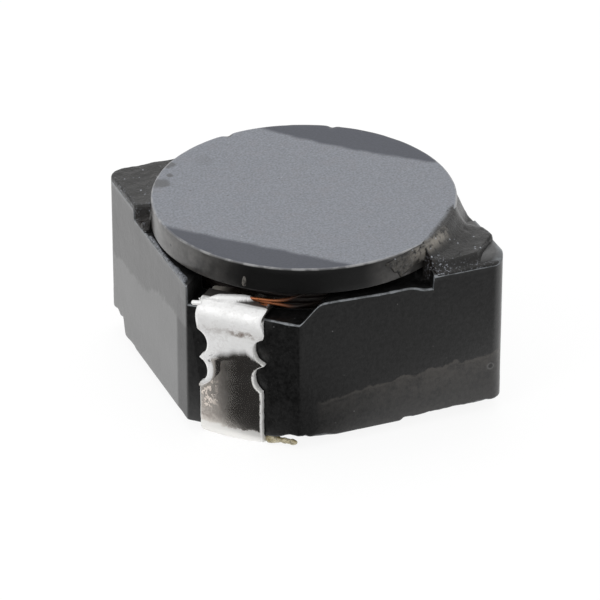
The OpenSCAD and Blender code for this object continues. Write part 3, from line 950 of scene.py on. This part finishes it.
def strip_path(s):
    """Place and outward direction on the strip's outer face, at a distance s from the foot's end.

    Foot, quarter circle, upright, quarter circle and tab follow each other."""
    a, b = np.clip(s, 0, FOOT), np.clip(s - FOOT, 0, BEND) / BEND_R
    c = np.clip(s - UPRIGHT_AT, 0, UPRIGHT)
    d, e = np.clip(s - UPRIGHT_AT - UPRIGHT, 0, BEND) / BEND_R, np.clip(s - TAB_AT, 0, TAB)
    x = FLAT_X - FOOT_LEN + a + BEND_R * np.sin(b) - BEND_R * (1 - np.cos(d)) - e
    z = BEND_R * (1 - np.cos(b)) + c + BEND_R * np.sin(d)
    tilt = b + d - math.pi / 2
    return x, z, np.cos(tilt), np.sin(tilt)


def scallops(z, places, depth):
    """How far round bites go into an edge at height z: the chord's depth of each circle."""
    total = 0
    for place in places:
        chord = np.sqrt(np.clip(SCALLOP_R**2 - (z - place) ** 2, 0, None))
        total = total + np.clip(chord - SCALLOP_R + depth, 0, None)
    return total


def strip_edges(z, upright):
    """The left and the right edge at height z. Only the upright has scallops and burred tips."""
    left = scallops(z, (1.76, 2.45), 0.21) - 0.03 * np.exp(-(((z - 2.08) / 0.05) ** 2))
    right = scallops(z, (1.79, 2.51), 0.19) - 0.06 * np.exp(-(((z - 2.15) / 0.07) ** 2))
    return STRIP_Y - STRIP_W / 2 + left * upright, STRIP_Y + STRIP_W / 2 - right * upright


print(f"strip {PATH_LENGTH:.2f} mm long")


# %% The strip's surface
def strip_grid(seed):
    """The section is a flat loop: outer face, edge, inner face, edge, with small round corners.

    Each group of its points has a place across the strip, a depth behind the outer face, and 1
    where it belongs to an edge. The face is bowed by the square of the distance from its middle."""
    s = np.concatenate([[0], np.linspace(0, PATH_LENGTH, 260), [PATH_LENGTH]])[:, None]
    x, z, nx, nz = strip_path(s)
    upright = rise(s, FOOT + BEND * 0.7, UPRIGHT_AT)
    upright = upright * (1 - rise(s, UPRIGHT_AT + UPRIGHT, UPRIGHT_AT + UPRIGHT + BEND * 0.3))
    left, right_edge = strip_edges(z, upright)
    wobble = np.concatenate([s, 0 * s, 0 * s + 3], 1)
    left = left + 0.008 * layered(wobble, 0.12, seed)[:, None]
    right_edge = right_edge - 0.008 * layered(wobble, 0.12, seed + 5)[:, None]
    roll = 0.03
    t = np.linspace(0, 1, 25)[None, :]
    arc = np.radians(np.linspace(0, 90, 4))[None, :]
    over, under = np.sin(arc), np.cos(arc)
    groups = [
        (left + roll + (right_edge - left - 2 * roll) * t, 0.0, 0),
        (right_edge - roll + roll * over[:, 1:], roll * (1 - under[:, 1:]), 1),
        (right_edge, np.array([[0.1, 0.19]]), 1),
        (right_edge - 0.01 + (left - right_edge + 0.02) * t[:, ::3], SHEET_T, 0),
        (left, np.array([[0.19, 0.1]]), 1),
        (left + roll - roll * under[:, :-1], roll * (1 - over[:, :-1]), 1),
    ]
    rows = zip(*(np.broadcast_arrays(*group) for group in groups))
    y, deep, edge = (np.concatenate(row, 1).astype(float) for row in rows)
    dents = np.stack([y, z + 0 * y, x + 0 * y], -1)
    bowed = 0.045 * ((y - STRIP_Y) / (STRIP_W / 2)) ** 2
    bowed = bowed + 0.010 * (1 + layered(dents, 0.6, seed + 9)) / 2
    deep = deep + bowed * (deep < 0.05)
    for end in (0, -1):
        y[end], deep[end] = y[end].mean(), SHEET_T / 2
    points = np.stack([x - nx * deep, y, z - nz * deep], -1)
    # The edges and a margin by the right edge are marked for the tin's painted highlight
    margin = np.where(deep < 0.15, right_edge - y, 1.0)
    return points, {"painted_light": edge, "across": y, "margin": margin}


def tin_finish():
    """Bright metal that turns matt and pale in some places, which are sums of the marks.

    They are the left side, a lower band made pale as a painted reflection, the flecks, the
    edges and a rim at the right edge made near white as a painted highlight, and the tab's top
    and corner made nearly black as painted shade. How matt a place is, is the greatest of their shares."""
    made = Finish("tinned_strip")
    across, edge = made.mark("across"), made.mark()
    _, _, height = made.parts()
    cloud, fine, blot = made.noise(0.4, 4), made.noise(0.05, 3), made.noise(0.09, 4, 0.6)
    leftwards = 1 - across.rise(-0.85, 0.10)
    # Painted reflection: the low part of the strip, by the bend, is made pale and matt
    lower = 1 - (height + made.noise(0.16, 4) * 0.26).rise(0.52, 0.60)
    upright = height.rise(0.72, 0.90) * (1 - height.rise(2.1, 2.3))
    flecks = blot.rise(0.50, 0.58) * (1 - (across + cloud * 0.35).rise(-0.58, -0.12)) * upright
    worn = (1 - (across + cloud * 0.2).rise(-0.72, -0.30)) * (height + cloud * 0.3).rise(1.35, 1.75)
    # Painted highlight: a band along the right edge, and the edges, are made near white
    rim = (1 - made.mark("margin").rise(0.030, 0.058)) * made.noise(0.10, 2).rise(0.25, 0.50)
    bare = rim.high(edge)
    brown = leftwards * (0.3 + blot.rise(0.35, 0.6) * 0.5) * height.rise(0.4, 0.6)
    # Painted shade: the tab's top and its corner, under the flange, are made nearly black by the flux mask
    tab_corner = across.rise(0.50, 0.58) * height.rise(TAB_Z - 0.30, TAB_Z - 0.22)
    flux = height.rise(TAB_Z - 0.03, TAB_Z - 0.01).high(tab_corner)
    base = made.blend(cloud, (0.62, 0.57, 0.52, 1), (0.80, 0.77, 0.73, 1))
    base = made.blend(brown, base, (0.30, 0.26, 0.23, 1))
    base = made.blend(worn * 0.8, base, (0.86, 0.80, 0.71, 1))
    base = made.blend(flecks * 0.9, base, (0.95, 0.85, 0.76, 1))
    base = made.blend(bare.high(lower * 0.7), base, (0.95, 0.95, 0.93, 1))
    base = made.blend(flux, base, (0.03, 0.025, 0.02, 1))
    matt = leftwards * (0.10 + cloud * 0.15)
    for place, share in ((worn, 0.6), (flecks, 0.75), (lower, 0.6), (bare, 0.85), (flux, 0.7)):
        matt = matt.high(place * share)
    bumps = made.bump(fine * (0.06 + flecks * 1.2 + edge) + cloud, 0.008)
    rough = 0.15 + cloud * 0.12 + leftwards * 0.20 + edge * 0.2 + lower * 0.15
    return made.surface(Base_Color=base, Roughness=rough, Metallic=1 - matt, Normal=bumps)


TIN = tin_finish()
for name, turn, seed in (("front", 225, 11), ("rear", 45, 12)):
    points, marks = strip_grid(seed)
    grids, node = [(turned(points, turn), False, True, marks)], f"terminal_{name}"
    make_piece(f"{node}_surface", node, grids, TIN, 45)

# %% [markdown]
# ## Solder
#
# Solder has flowed over the strip's upper end, round its edges and into the scallops, and
# holds the wire on the tab. It is a thin skin whose thickness is a formula: a quarter circle
# at its border, because a liquid's edge is round, a smooth middle, and a mound where a round
# column lies about the wire. The mound's height over each point is where a line straight
# out of the strip leaves that column. Its finish is satin white, and mirrors more towards
# the thin border, where the skin has wetted the strip.


# %% The solder's surface
def mound(spot, out, start, end, radius):
    """How far out of each point a straight line leaves the round column between two ends.

    The column has its full size over its first half, thins after it, and has rounded ends. The
    line leaves it where the distance from the column's axis equals its size: the greater
    answer of a quadratic equation."""
    length = np.linalg.norm(end - start)
    along = (end - start) / length
    rel = spot - start
    place = rel @ along
    size = radius * (0.10 + 0.90 * rise(place / length, 0.82, 0.52))
    size = size * dome((place + 0.18) / 0.36) * dome((length + 0.06 - place) / 0.1)
    off = rel - place[..., None] * along
    way = out - (out @ along)[..., None] * along
    a, b = (way * way).sum(-1), (off * way).sum(-1)
    c = (off * off).sum(-1) - size**2
    root = b * b - a * c
    return np.where(root > 0, (-b + np.sqrt(np.clip(root, 0, None))) / np.clip(a, 1e-6, None), 0)


def solder_grid(seed, bends):
    """Rows follow the strip upwards, columns go across it. The back lies inside the metal.

    The thickness is the root of the sum of the squares of the film's and the mound's, so that
    the two meet in a soft valley. The marks say how far across and how far inside its lower
    border a point is, and where painted shade darkens the line between the mound and the bend."""
    v, u = np.linspace(0, 1, 81)[None, :], np.linspace(0, 1, 150)[:, None]
    y_rough = STRIP_Y - STRIP_W / 2 + STRIP_W * v
    low_z = through(
        y_rough, (-0.93, 1.36), (-0.84, 1.32), (-0.76, 1.48), (-0.68, 1.98), (-0.52, 2.14),
        (-0.30, 2.18), (-0.16, 2.24), (0.10, 2.27), (0.35, 2.33), (0.57, 2.22),
    )
    low_z = low_z + 0.04 * layered(np.stack([y_rough, 0 * y_rough, 0 * y_rough], -1), 0.2, seed)
    s0 = low_z + UPRIGHT_AT - BEND_R
    s1 = TAB_AT + 0.02 + 0.26 * (1 - rise(y_rough, 0.15, 0.45))
    s = s0 + (s1 - s0) * u
    x, z, nx, nz = strip_path(s)
    left, right_edge = strip_edges(z, 1.0)
    lap = rise(z, 2.60, 2.90) * (1 - rise(s, TAB_AT - 0.12, TAB_AT))
    left = left - lap * (0.05 + 0.02 * np.cos((z - 3.13) * 8))
    right_edge = right_edge + lap * (0.045 + 0.04 * np.cos((z - 2.98) * 10))
    y = left + (right_edge - left) * v
    spot = np.stack([x, y, z], -1)
    out = np.stack([nx + 0 * y, 0 * y, nz + 0 * y], -1)
    side = np.minimum(y - left, right_edge - y)
    edge = dome(side / 0.12) * rise(s - s0, -0.05, 0.45)
    edge = edge * (1 - 0.93 * rise(s, TAB_AT - 0.16, TAB_AT - 0.02))
    belly = 0.035 * np.exp(-(((z - 3.10) / 0.22) ** 2))
    film = (0.026 + belly + 0.012 * layered(spot, 0.45, seed + 2, 2)) * edge
    sunk = np.array([0, 0, 0.035])
    heap = mound(spot, out, bends[2] - sunk, bends[3] - sunk, 0.10)
    thick = np.clip(np.sqrt(film * film + heap * heap), 0, 0.19) + 0.002
    face = spot + out * thick[..., None]
    rear = np.stack([x - nx * 0.12, STRIP_Y + (y - STRIP_Y) * 0.93, z - nz * 0.12], -1)[:, ::-1]
    loop = np.concatenate([face, rear[:, ::4]], 1)
    ends = loop[[0, -1]].mean(1, keepdims=True) + 0 * loop[[0, -1]]
    # Painted shade: the mark for the line between the mound and the bend
    gap = rise(s, TAB_AT - 0.09, TAB_AT - 0.04) * (1 - rise(heap, 0.01, 0.04))
    marks = {}
    for key, values in (("across", y), ("inside", s - s0 + 0 * y), ("gap", gap)):
        whole = np.concatenate([values, values[:, ::-4]], 1)
        marks[key] = np.concatenate([whole[:1], whole, whole[-1:]])
    return np.concatenate([ends[:1], loop, ends[1:]]), marks


# Where brown spots lie on the front solder
SPOTTED = (-3.0, -1.83, 3.38)


def nub_grid():
    """The solder that clings to the wire's end, where it hooks over the strip's left edge."""
    left = STRIP_Y - STRIP_W / 2
    start = np.array([STRIP_X - 0.10, left + 0.04, TAB_Z - 0.09])
    end = np.array([STRIP_X - 0.07, left - 0.19, TAB_Z - 0.11])
    t = np.linspace(0, 1, 30)
    line = start + (end - start) * t[:, None]
    return carried(line, 0.052 * dome((1 - t) / 0.22 + 0.05) + 0.002, 20)


def solder_finish():
    """Satin white: the metal's share of mirror falls with the distance inside the lower border.

    A belt is 1 less the square of the distance from its height. It holds a brown streak of
    burnt flux, made ragged by noise and strongest in the middle, within a wider grey haze."""
    made = Finish("bright_solder")
    across, inside, gap = made.mark("across"), made.mark("inside"), made.mark("gap")
    _, _, height = made.parts()
    cloud, fine = made.noise(0.35, 4), made.noise(0.06, 3)
    belt = (height - 2.84 - made.noise(0.4, 2) * 0.12) * 9
    dirty = made.noise(0.26, 4, 0.6).rise(0.40, 0.58)
    middle = across.rise(-0.25, 0.0) * (1 - across.rise(0.38, 0.52))
    streak = (1 - belt * belt).high(0) * dirty * (0.35 + middle * 0.65)
    haze = (1 - belt * belt * 0.25).high(0) * 0.20 + (cloud * 0.5 + fine * 0.5).rise(0.50, 0.64) * 0.30
    spots = made.noise(0.11, 3).rise(0.56, 0.66) * made.near(SPOTTED, 0.25)
    base = made.blend(cloud, (0.93, 0.93, 0.92, 1), (0.98, 0.98, 0.98, 1))
    base = made.blend(haze, base, (0.62, 0.60, 0.58, 1))
    base = made.blend(streak * 0.9, base, (0.15, 0.10, 0.07, 1))
    base = made.blend(spots * 0.7, base, (0.55, 0.36, 0.28, 1))
    # Painted shade: the line between the mound and the bend is made nearly black
    base = made.blend(gap * 0.95, base, (0.02, 0.016, 0.013, 1))
    thin = 1 - inside.rise(0.0, 0.15)
    base = made.blend(thin, base, (0.64, 0.60, 0.56, 1))
    leftwards = 1 - across.rise(-0.62, -0.36)
    metal = 1 - inside.rise(0.02, 0.26).high(leftwards * 0.75) * (0.74 + cloud * 0.2)
    rough = 0.28 + cloud * 0.12 + streak * 0.2 - thin * 0.12
    bumps = made.bump(cloud + fine * 0.6 * (1 - thin), 0.020)
    return made.surface(Base_Color=base, Roughness=rough, Metallic=metal, Normal=bumps)


SOLDER = solder_finish()
for name, turn, seed in (("front", 225, 81), ("rear", 45, 91)):
    points, marks = solder_grid(seed, lead_points()[0])
    nub, node = nub_grid(), f"solder_{name}"
    grids = [(turned(points, turn), False, True, marks), (turned(nub, turn), False, True, {"inside": 1.0})]
    make_piece(f"{node}_surface", node, grids, SOLDER, 60)

# %% [markdown]
# ## Adhesives
#
# Black epoxy was dabbed between the upper flange and each post, where it hardened into a
# rough heap with pits. A heap is a height over the post, a line through a few points from
# the flange to the outer corner, less a hollow where it ends, with random lumps on it. Marks
# say where the epoxy is tan, brown or thin, and where painted glints and a painted sheen go.
# A little of it is smeared down the flange's side. Clear amber epoxy holds the strips and the
# drum's foot, and has squeezed out as small beads.


# %% Epoxy finishes
def black_epoxy_finish():
    """Black with painted glints near random points, and other colours where the marks say so."""
    made = Finish("black_epoxy")
    grit, cloud = made.noise(0.05, 4), made.noise(0.25, 4)
    tan, brown, thin, glint = (made.mark(name) for name in ("tan", "brown", "thin", "glint"))
    # Painted glints: bluish white dots near random points, and more where the glint mark is high
    spark = made.cells(0.17).rise(0.17, 0.06) * made.noise(0.3, 2).rise(0.46, 0.58)
    spark = spark.high(glint * made.noise(0.05, 3).rise(0.54, 0.74))
    base = made.blend(cloud, grey(0.002), grey(0.014, 0.08))
    base = made.blend(thin * made.noise(0.07, 3).rise(0.25, 0.55), base, (0.16, 0.17, 0.19, 1))
    base = made.blend(tan * made.noise(0.11, 3).rise(0.32, 0.55), base, (0.26, 0.24, 0.21, 1))
    base = made.blend(brown * 0.9, base, (0.008, 0.005, 0.003, 1))
    base = made.blend(spark * 0.7, base, (0.58, 0.61, 0.68, 1))
    bumps = made.bump(grit * 0.7 + cloud * 0.8, 0.022)
    return made.surface(Base_Color=base, Roughness=0.22 + grit * 0.35, Normal=bumps, Specular_IOR_Level=0.42)


def amber_epoxy_finish():
    """Between a brown and a pale yellow by a soft noise, with dark grit, under a clear coat."""
    made = Finish("amber_epoxy")
    cloud, grit = made.noise(0.2, 4), made.noise(0.05, 3)
    base = made.blend(cloud.rise(0.3, 0.7), (0.26, 0.20, 0.07, 1), (0.82, 0.76, 0.56, 1))
    base = made.blend(grit.rise(0.52, 0.64) * 0.7, base, (0.07, 0.05, 0.03, 1))
    bumps = made.bump(cloud + grit * 0.4, 0.03)
    return made.surface(Base_Color=base, Roughness=0.25 + grit * 0.2, Normal=bumps, Coat_Weight=0.3)


BLACK_EPOXY, AMBER_EPOXY = black_epoxy_finish(), amber_epoxy_finish()


# %% Corner adhesives
def outline_reach(spread):
    """How far the ring's outline is from the middle, at an angle from a corner's diagonal.

    Near the diagonal that is the far side of the rounded corner's circle, and else a flat face."""
    centre = (HALF - CORNER_R) * math.sqrt(2)
    arc = centre * np.cos(spread) + np.sqrt(np.clip(CORNER_R**2 - (centre * np.sin(spread)) ** 2, 0, None))
    corner = math.pi / 4 - math.atan((HALF - CORNER_R) / HALF)
    return np.where(np.abs(spread) < corner, arc, HALF / np.cos(math.pi / 4 - np.abs(spread)))


def right_heights(r, degrees):
    """A smear on the flange's top, a steep fillet at its rim, and a rounded layer on the post.

    The layer thins towards the rear, and the post's tip and its front edge stay bare. At the
    front the glue ends steeply, over a hollow beside the post."""
    z = through(
        r, (3.0, 4.493), (3.40, 4.4985), (3.47, 4.492), (3.52, 4.43), (3.60, 4.29), (3.72, 4.15),
        (3.95, 4.07), (4.30, 4.12), (4.9, 4.12),
    )
    thinner = through(r, (3.40, 0.0), (3.50, 0.12), (3.65, 0.22), (3.95, 0.14), (4.9, 0.06))
    z = z - rise(degrees, 10, 18) * thinner
    front_edge = HALF + r * np.sin(np.radians(degrees - 45))
    bare = np.maximum(rise(r * np.cos(np.radians(degrees)), 4.33, 4.42), 1 - rise(front_edge, 0.05, 0.20))
    z = z - (z - POST_Z + 0.12) * bare * rise(r, 3.6, 3.8)
    return z + (WALL_Z + 0.03 - z) * rise(degrees, 26.5, 28) * rise(r, 3.44, 3.50)


def right_inner(degrees):
    """Where the smear on the disc begins: near the rim only between the two ends of the fillet."""
    return through(
        degrees, (-29, 3.46), (-18, 3.46), (-14, 3.40), (-7, 3.31), (0, 3.28), (12, 3.30),
        (17, 3.46), (29, 3.46),
    )


def left_heights(r, degrees):
    """An even layer on the post, out to the ring's sides, with a deep hole near one end."""
    z = through(r, (3.44, 4.24), (3.50, 4.17), (3.62, 4.12), (3.9, 4.10), (4.9, 4.09))
    z = z - 0.36 * left_hole(degrees) * rise(r, 3.47, 3.52)
    return z + (WALL_Z + 0.05 - z) * rise(np.abs(degrees), 26.5, 28) * rise(r, 3.44, 3.50)


def left_inner(degrees):
    """The left glue stays off the disc."""
    return FLANGE_R - 0.02 + 0 * degrees


def left_hole(degrees):
    """1 in the hole at the left glue's front end, and half of it further on."""
    return rise(degrees, 19.5, 21.5) * (1 - 0.45 * rise(degrees, 25, 26.5))


def closed_loop(face, rear, marks):
    """A ring of points from a face and its back, with both ends drawn together, and its marks."""
    loop = np.concatenate([face, rear], 1)
    ends = loop[[0, -1]].mean(1, keepdims=True) + 0 * loop[[0, -1]]
    kept = {}
    for key, values in marks.items():
        whole = np.concatenate([np.broadcast_to(values, face.shape[:2]), np.zeros(rear.shape[:2])], 1)
        kept[key] = np.concatenate([whole[:1], whole, whole[-1:]])
    return np.concatenate([ends[:1], loop, ends[1:]]), kept


def corner_glue(heights, inner, start, seed):
    """A skin of glue over a corner, in polar steps, with a floor under it to close it.

    Besides the skin and its floor it returns each point's distance from the axis and angle, the
    outline's distance, and how close a point is to the thin border of a smear on the disc."""
    degrees = np.linspace(start, 29, 170)[:, None]
    q = np.linspace(0, 1, 90)[None, :]
    wall = outline_reach(np.radians(degrees)) - 0.008
    line = np.concatenate([degrees / 9, 0 * degrees, 0 * degrees], 1)
    near = inner(degrees) + 0.012 * layered(line, 0.7, seed)[:, None]
    near = np.minimum(near, FLANGE_R - 0.015)
    r = near + (wall - near) * q**1.25
    on_disc = 1 - rise(r, FLANGE_R - 0.04, FLANGE_R + 0.06)
    z = heights(r, degrees) - 0.07 * (1 - dome((wall - r) / 0.09)) * (r > FLANGE_R)
    spot = polar(r, degrees, 0.0)
    rough = 0.022 * layered(spot, 0.34, seed, 2) + 0.008 * layered(spot, 0.10, seed + 5, 2)
    rough = rough * (0.25 + 0.75 * rise(r, 3.58, 3.80))
    z = np.clip(z + rough * (1 - on_disc), WALL_Z - 0.15, TOP_Z - 0.0012)
    tuck = (r - 0.07 * (1 - np.clip((wall - r) / 0.07, 0, 1)))[:, ::-3]
    floor_z = np.where(tuck < FLANGE_R, FLANGE_Z + 0.3, WALL_Z - 0.16)
    thin = (1 - rise(r - near, 0.0, 0.11)) * rise(FLANGE_R - near, 0.02, 0.06)
    return polar(r, degrees, z), polar(tuck, degrees, floor_z), r, degrees, wall, thin


def right_glue(seed):
    """The right heap: tan along the flange's rim at the front, as a bell curve over the radius,
    brown where it ends over the hollow, and full of painted glints between the two."""
    skin, base, r, degrees, _, thin = corner_glue(right_heights, right_inner, -17.5, seed)
    bell = np.exp(-(((r - FLANGE_R - 0.07) / 0.07) ** 2))
    tan = bell * rise(-degrees, 0, 6) * (1 - rise(-degrees, 16.5, 17.4))
    brown = rise(-degrees, 16.6, 17.4) * rise(r, 3.58, 3.66)
    # Painted glints: a patch near the ring's front edge, and a faint line along that edge
    glint_cluster = rise(-degrees, 12, 14) * rise(r, 3.66, 3.74)
    front_edge = HALF + r * np.sin(np.radians(degrees - 45))
    glint = np.maximum(glint_cluster, 0.35 * (1 - rise(front_edge, 0.08, 0.18)))
    return closed_loop(skin, base, {"tan": tan, "brown": brown, "thin": thin, "glint": glint})


def left_glue(seed):
    """The left heap: brown in its hole, and glinting along the outline and on the hole's lip."""
    skin, base, r, degrees, wall, _ = corner_glue(left_heights, left_inner, -29, seed)
    hole = left_hole(degrees) * rise(r, 3.45, 3.5)
    edge = (1 - rise(wall - r, 0.03, 0.14)) * rise(degrees, 3, 8)
    lip = 0.7 * np.exp(-(((degrees - 19.0) / 0.9) ** 2)) + 0 * r
    glint = np.maximum(0.7 * edge, lip) * (1 - 0.6 * hole)
    return closed_loop(skin, base, {"brown": hole, "glint": glint})


def rim_smear(seed):
    """Glue smeared down the flange's side: a thin lumpy layer between two height lines."""
    degrees = np.linspace(-81, -58, 110)[:, None]
    t = np.linspace(0, 1, 30)[None, :]
    line = np.concatenate([degrees / 9, 0 * degrees, 0 * degrees], 1)
    low = through(
        degrees, (-81, 4.30), (-79, 4.22), (-77, 4.05), (-75.5, 4.02), (-74, 3.87), (-71, 3.93),
        (-67, 4.03), (-63, 4.04), (-58, 4.02),
    )
    high = through(degrees, (-81, 4.34), (-77, 4.40), (-72, 4.46), (-68, 4.475), (-58, 4.475))
    z = low + (high - low) * t + 0.03 * layered(line, 0.25, seed)[:, None] * (1 - t)
    border = dome(t / 0.25) * dome((1 - t) / 0.15) * dome((degrees + 81) / 4) * dome((-58 - degrees) / 4)
    uneven = 0.75 + 0.6 * layered(polar(FLANGE_R, degrees, z), 0.14, seed + 1)
    thick = (0.050 + 0.05 * rise(degrees, -66, -62)) * border * uneven - 0.004
    face = polar(FLANGE_R + thick, degrees, z)
    rear = polar(0.985 * FLANGE_R, degrees, z)[:, ::-3]
    paler = rise(degrees, -72, -66) * rise(z, 4.1, 4.3)
    return closed_loop(face, rear, {"tan": (0.22 + 0.55 * paler) * border, "glint": 0.12 * border})


def drop_of_glue(where, radius, height):
    """A drop that ran down a wall: a short upright tube, widest low down."""
    t = np.linspace(0, 1, 24)
    line = np.array(where) + np.stack([0.02 * t, 0.01 * t, height * (t - 0.5)], -1)
    return carried(line, radius * dome(t / 0.25) * dome((1 - t) / 0.75) + 0.001, 18)


def wall_bead(seed):
    """The bead on the left wall's top, under the flange's rim: a lumpy tube inside the ring."""
    t = np.linspace(0, 1, 90)
    line = np.stack([-HALF + 0.055 + 0.01 * np.sin(9 * t), 0.8 - 2.3 * t, WALL_Z + 0.02 + 0 * t], -1)
    width = 0.036 + 0.035 * rise(t, 0.55, 0.85) + 0.020 * layered(line, 0.16, seed)
    width = width * dome(t * 12) * dome((1 - t) * 12) + 0.001
    line[:, 0] = np.maximum(line[:, 0], -HALF + width + 0.003)
    return carried(line, width, 14)


# Painted highlights: the bead is made pale and glinting by its thin and glint marks, and the drop paler by
# its tan mark
drop = drop_of_glue(polar(FLANGE_R - 0.01, 225.5, FLANGE_Z + 0.20), 0.055, 0.26)
beads = [(wall_bead(151), False, True, {"glint": 1.0, "thin": 0.9}), (drop, False, True, {"tan": 0.45})]
smear, smear_marks = rim_smear(161)
for name, turn, (points, marks), more in (
    ("right", -45, right_glue(56), [(smear, False, True, smear_marks)]),
    ("left", 135, left_glue(236), beads),
):
    grids, node = [(turned(points, turn), False, True, marks), *more], f"corner_adhesive_{name}"
    make_piece(f"{node}_surface", node, grids, BLACK_EPOXY, 60)


# %% Strip adhesive and the ring of adhesive at the drum's foot
def strip_glue(seed):
    """A thin bed behind the strip, and a lumpy bead along the foot of the flat beside it."""
    low, high = FOOT_LEN - 0.15, 0.3
    s = np.linspace(FOOT - low + 0.25, PATH_LENGTH - high, 90)[:, None]
    x, z, nx, nz = strip_path(s)
    wide = STRIP_W / 2 - 0.25
    y = STRIP_Y + np.array([[-wide, 0, wide, wide, 0, -wide]])
    deep = SHEET_T + np.array([[-0.002, -0.002, -0.002, 0.045, 0.045, 0.045]])
    bed = np.stack([x - nx * deep, y + 0 * s, z - nz * deep], -1)
    ends = bed[[0, -1]].mean(1, keepdims=True) + 0 * bed[[0, -1]]
    bed = np.concatenate([ends[:1], bed, ends[1:]])
    t = np.linspace(0, 1, 60)
    edge = STRIP_Y + STRIP_W / 2
    along = edge - 0.02 + (FLAT_HALF - edge - 0.04) * t
    line = np.stack([FLAT_X - 0.09 + 0 * t, along, SEAT_Z - 0.10 + 0.03 * t], -1)
    width = (0.118 - 0.035 * t) * dome(t * 8) * dome((1 - t) * 6) * (0.80 + 0.45 * layered(line, 0.17, seed))
    return bed, carried(line, width + 0.002, 16)


for name, turn, seed in (("front", 225, 121), ("rear", 45, 131)):
    grids = [(turned(points, turn), False, True, {}) for points in strip_glue(seed)]
    node = f"terminal_adhesive_{name}"
    make_piece(f"{node}_surface", node, grids, AMBER_EPOXY, 60)

# The ring's section is a rectangle with rounded corners, and its top is a little lumpy
inner, outer, foot_z = LOWER_R + 0.002, BORE_R - 0.002, SEAT_Z + 0.02
corners = [(inner, foot_z), (outer, foot_z), (outer, base_high[2]), (inner, base_high[2]), (inner, foot_z)]
foot_ring = spun(filled(rounded(corners, 0.03), 0.1)[:-1], 240)
swell = 0.03 * (1 + layered(foot_ring, 0.5, 141)) / 2
foot_ring[..., 2] += swell * rise(0.45 - foot_ring[..., 2], 0, 0.1)
foot_grids = [(foot_ring, True, True, {})]
make_piece("base_adhesive_surface", "base_adhesive", foot_grids, AMBER_EPOXY, 60)

# %% [markdown]
# ## Last settings
#
# The standard view keeps colours as they are written.

# %% Finish
bpy.context.scene.view_settings.view_transform = "Standard"
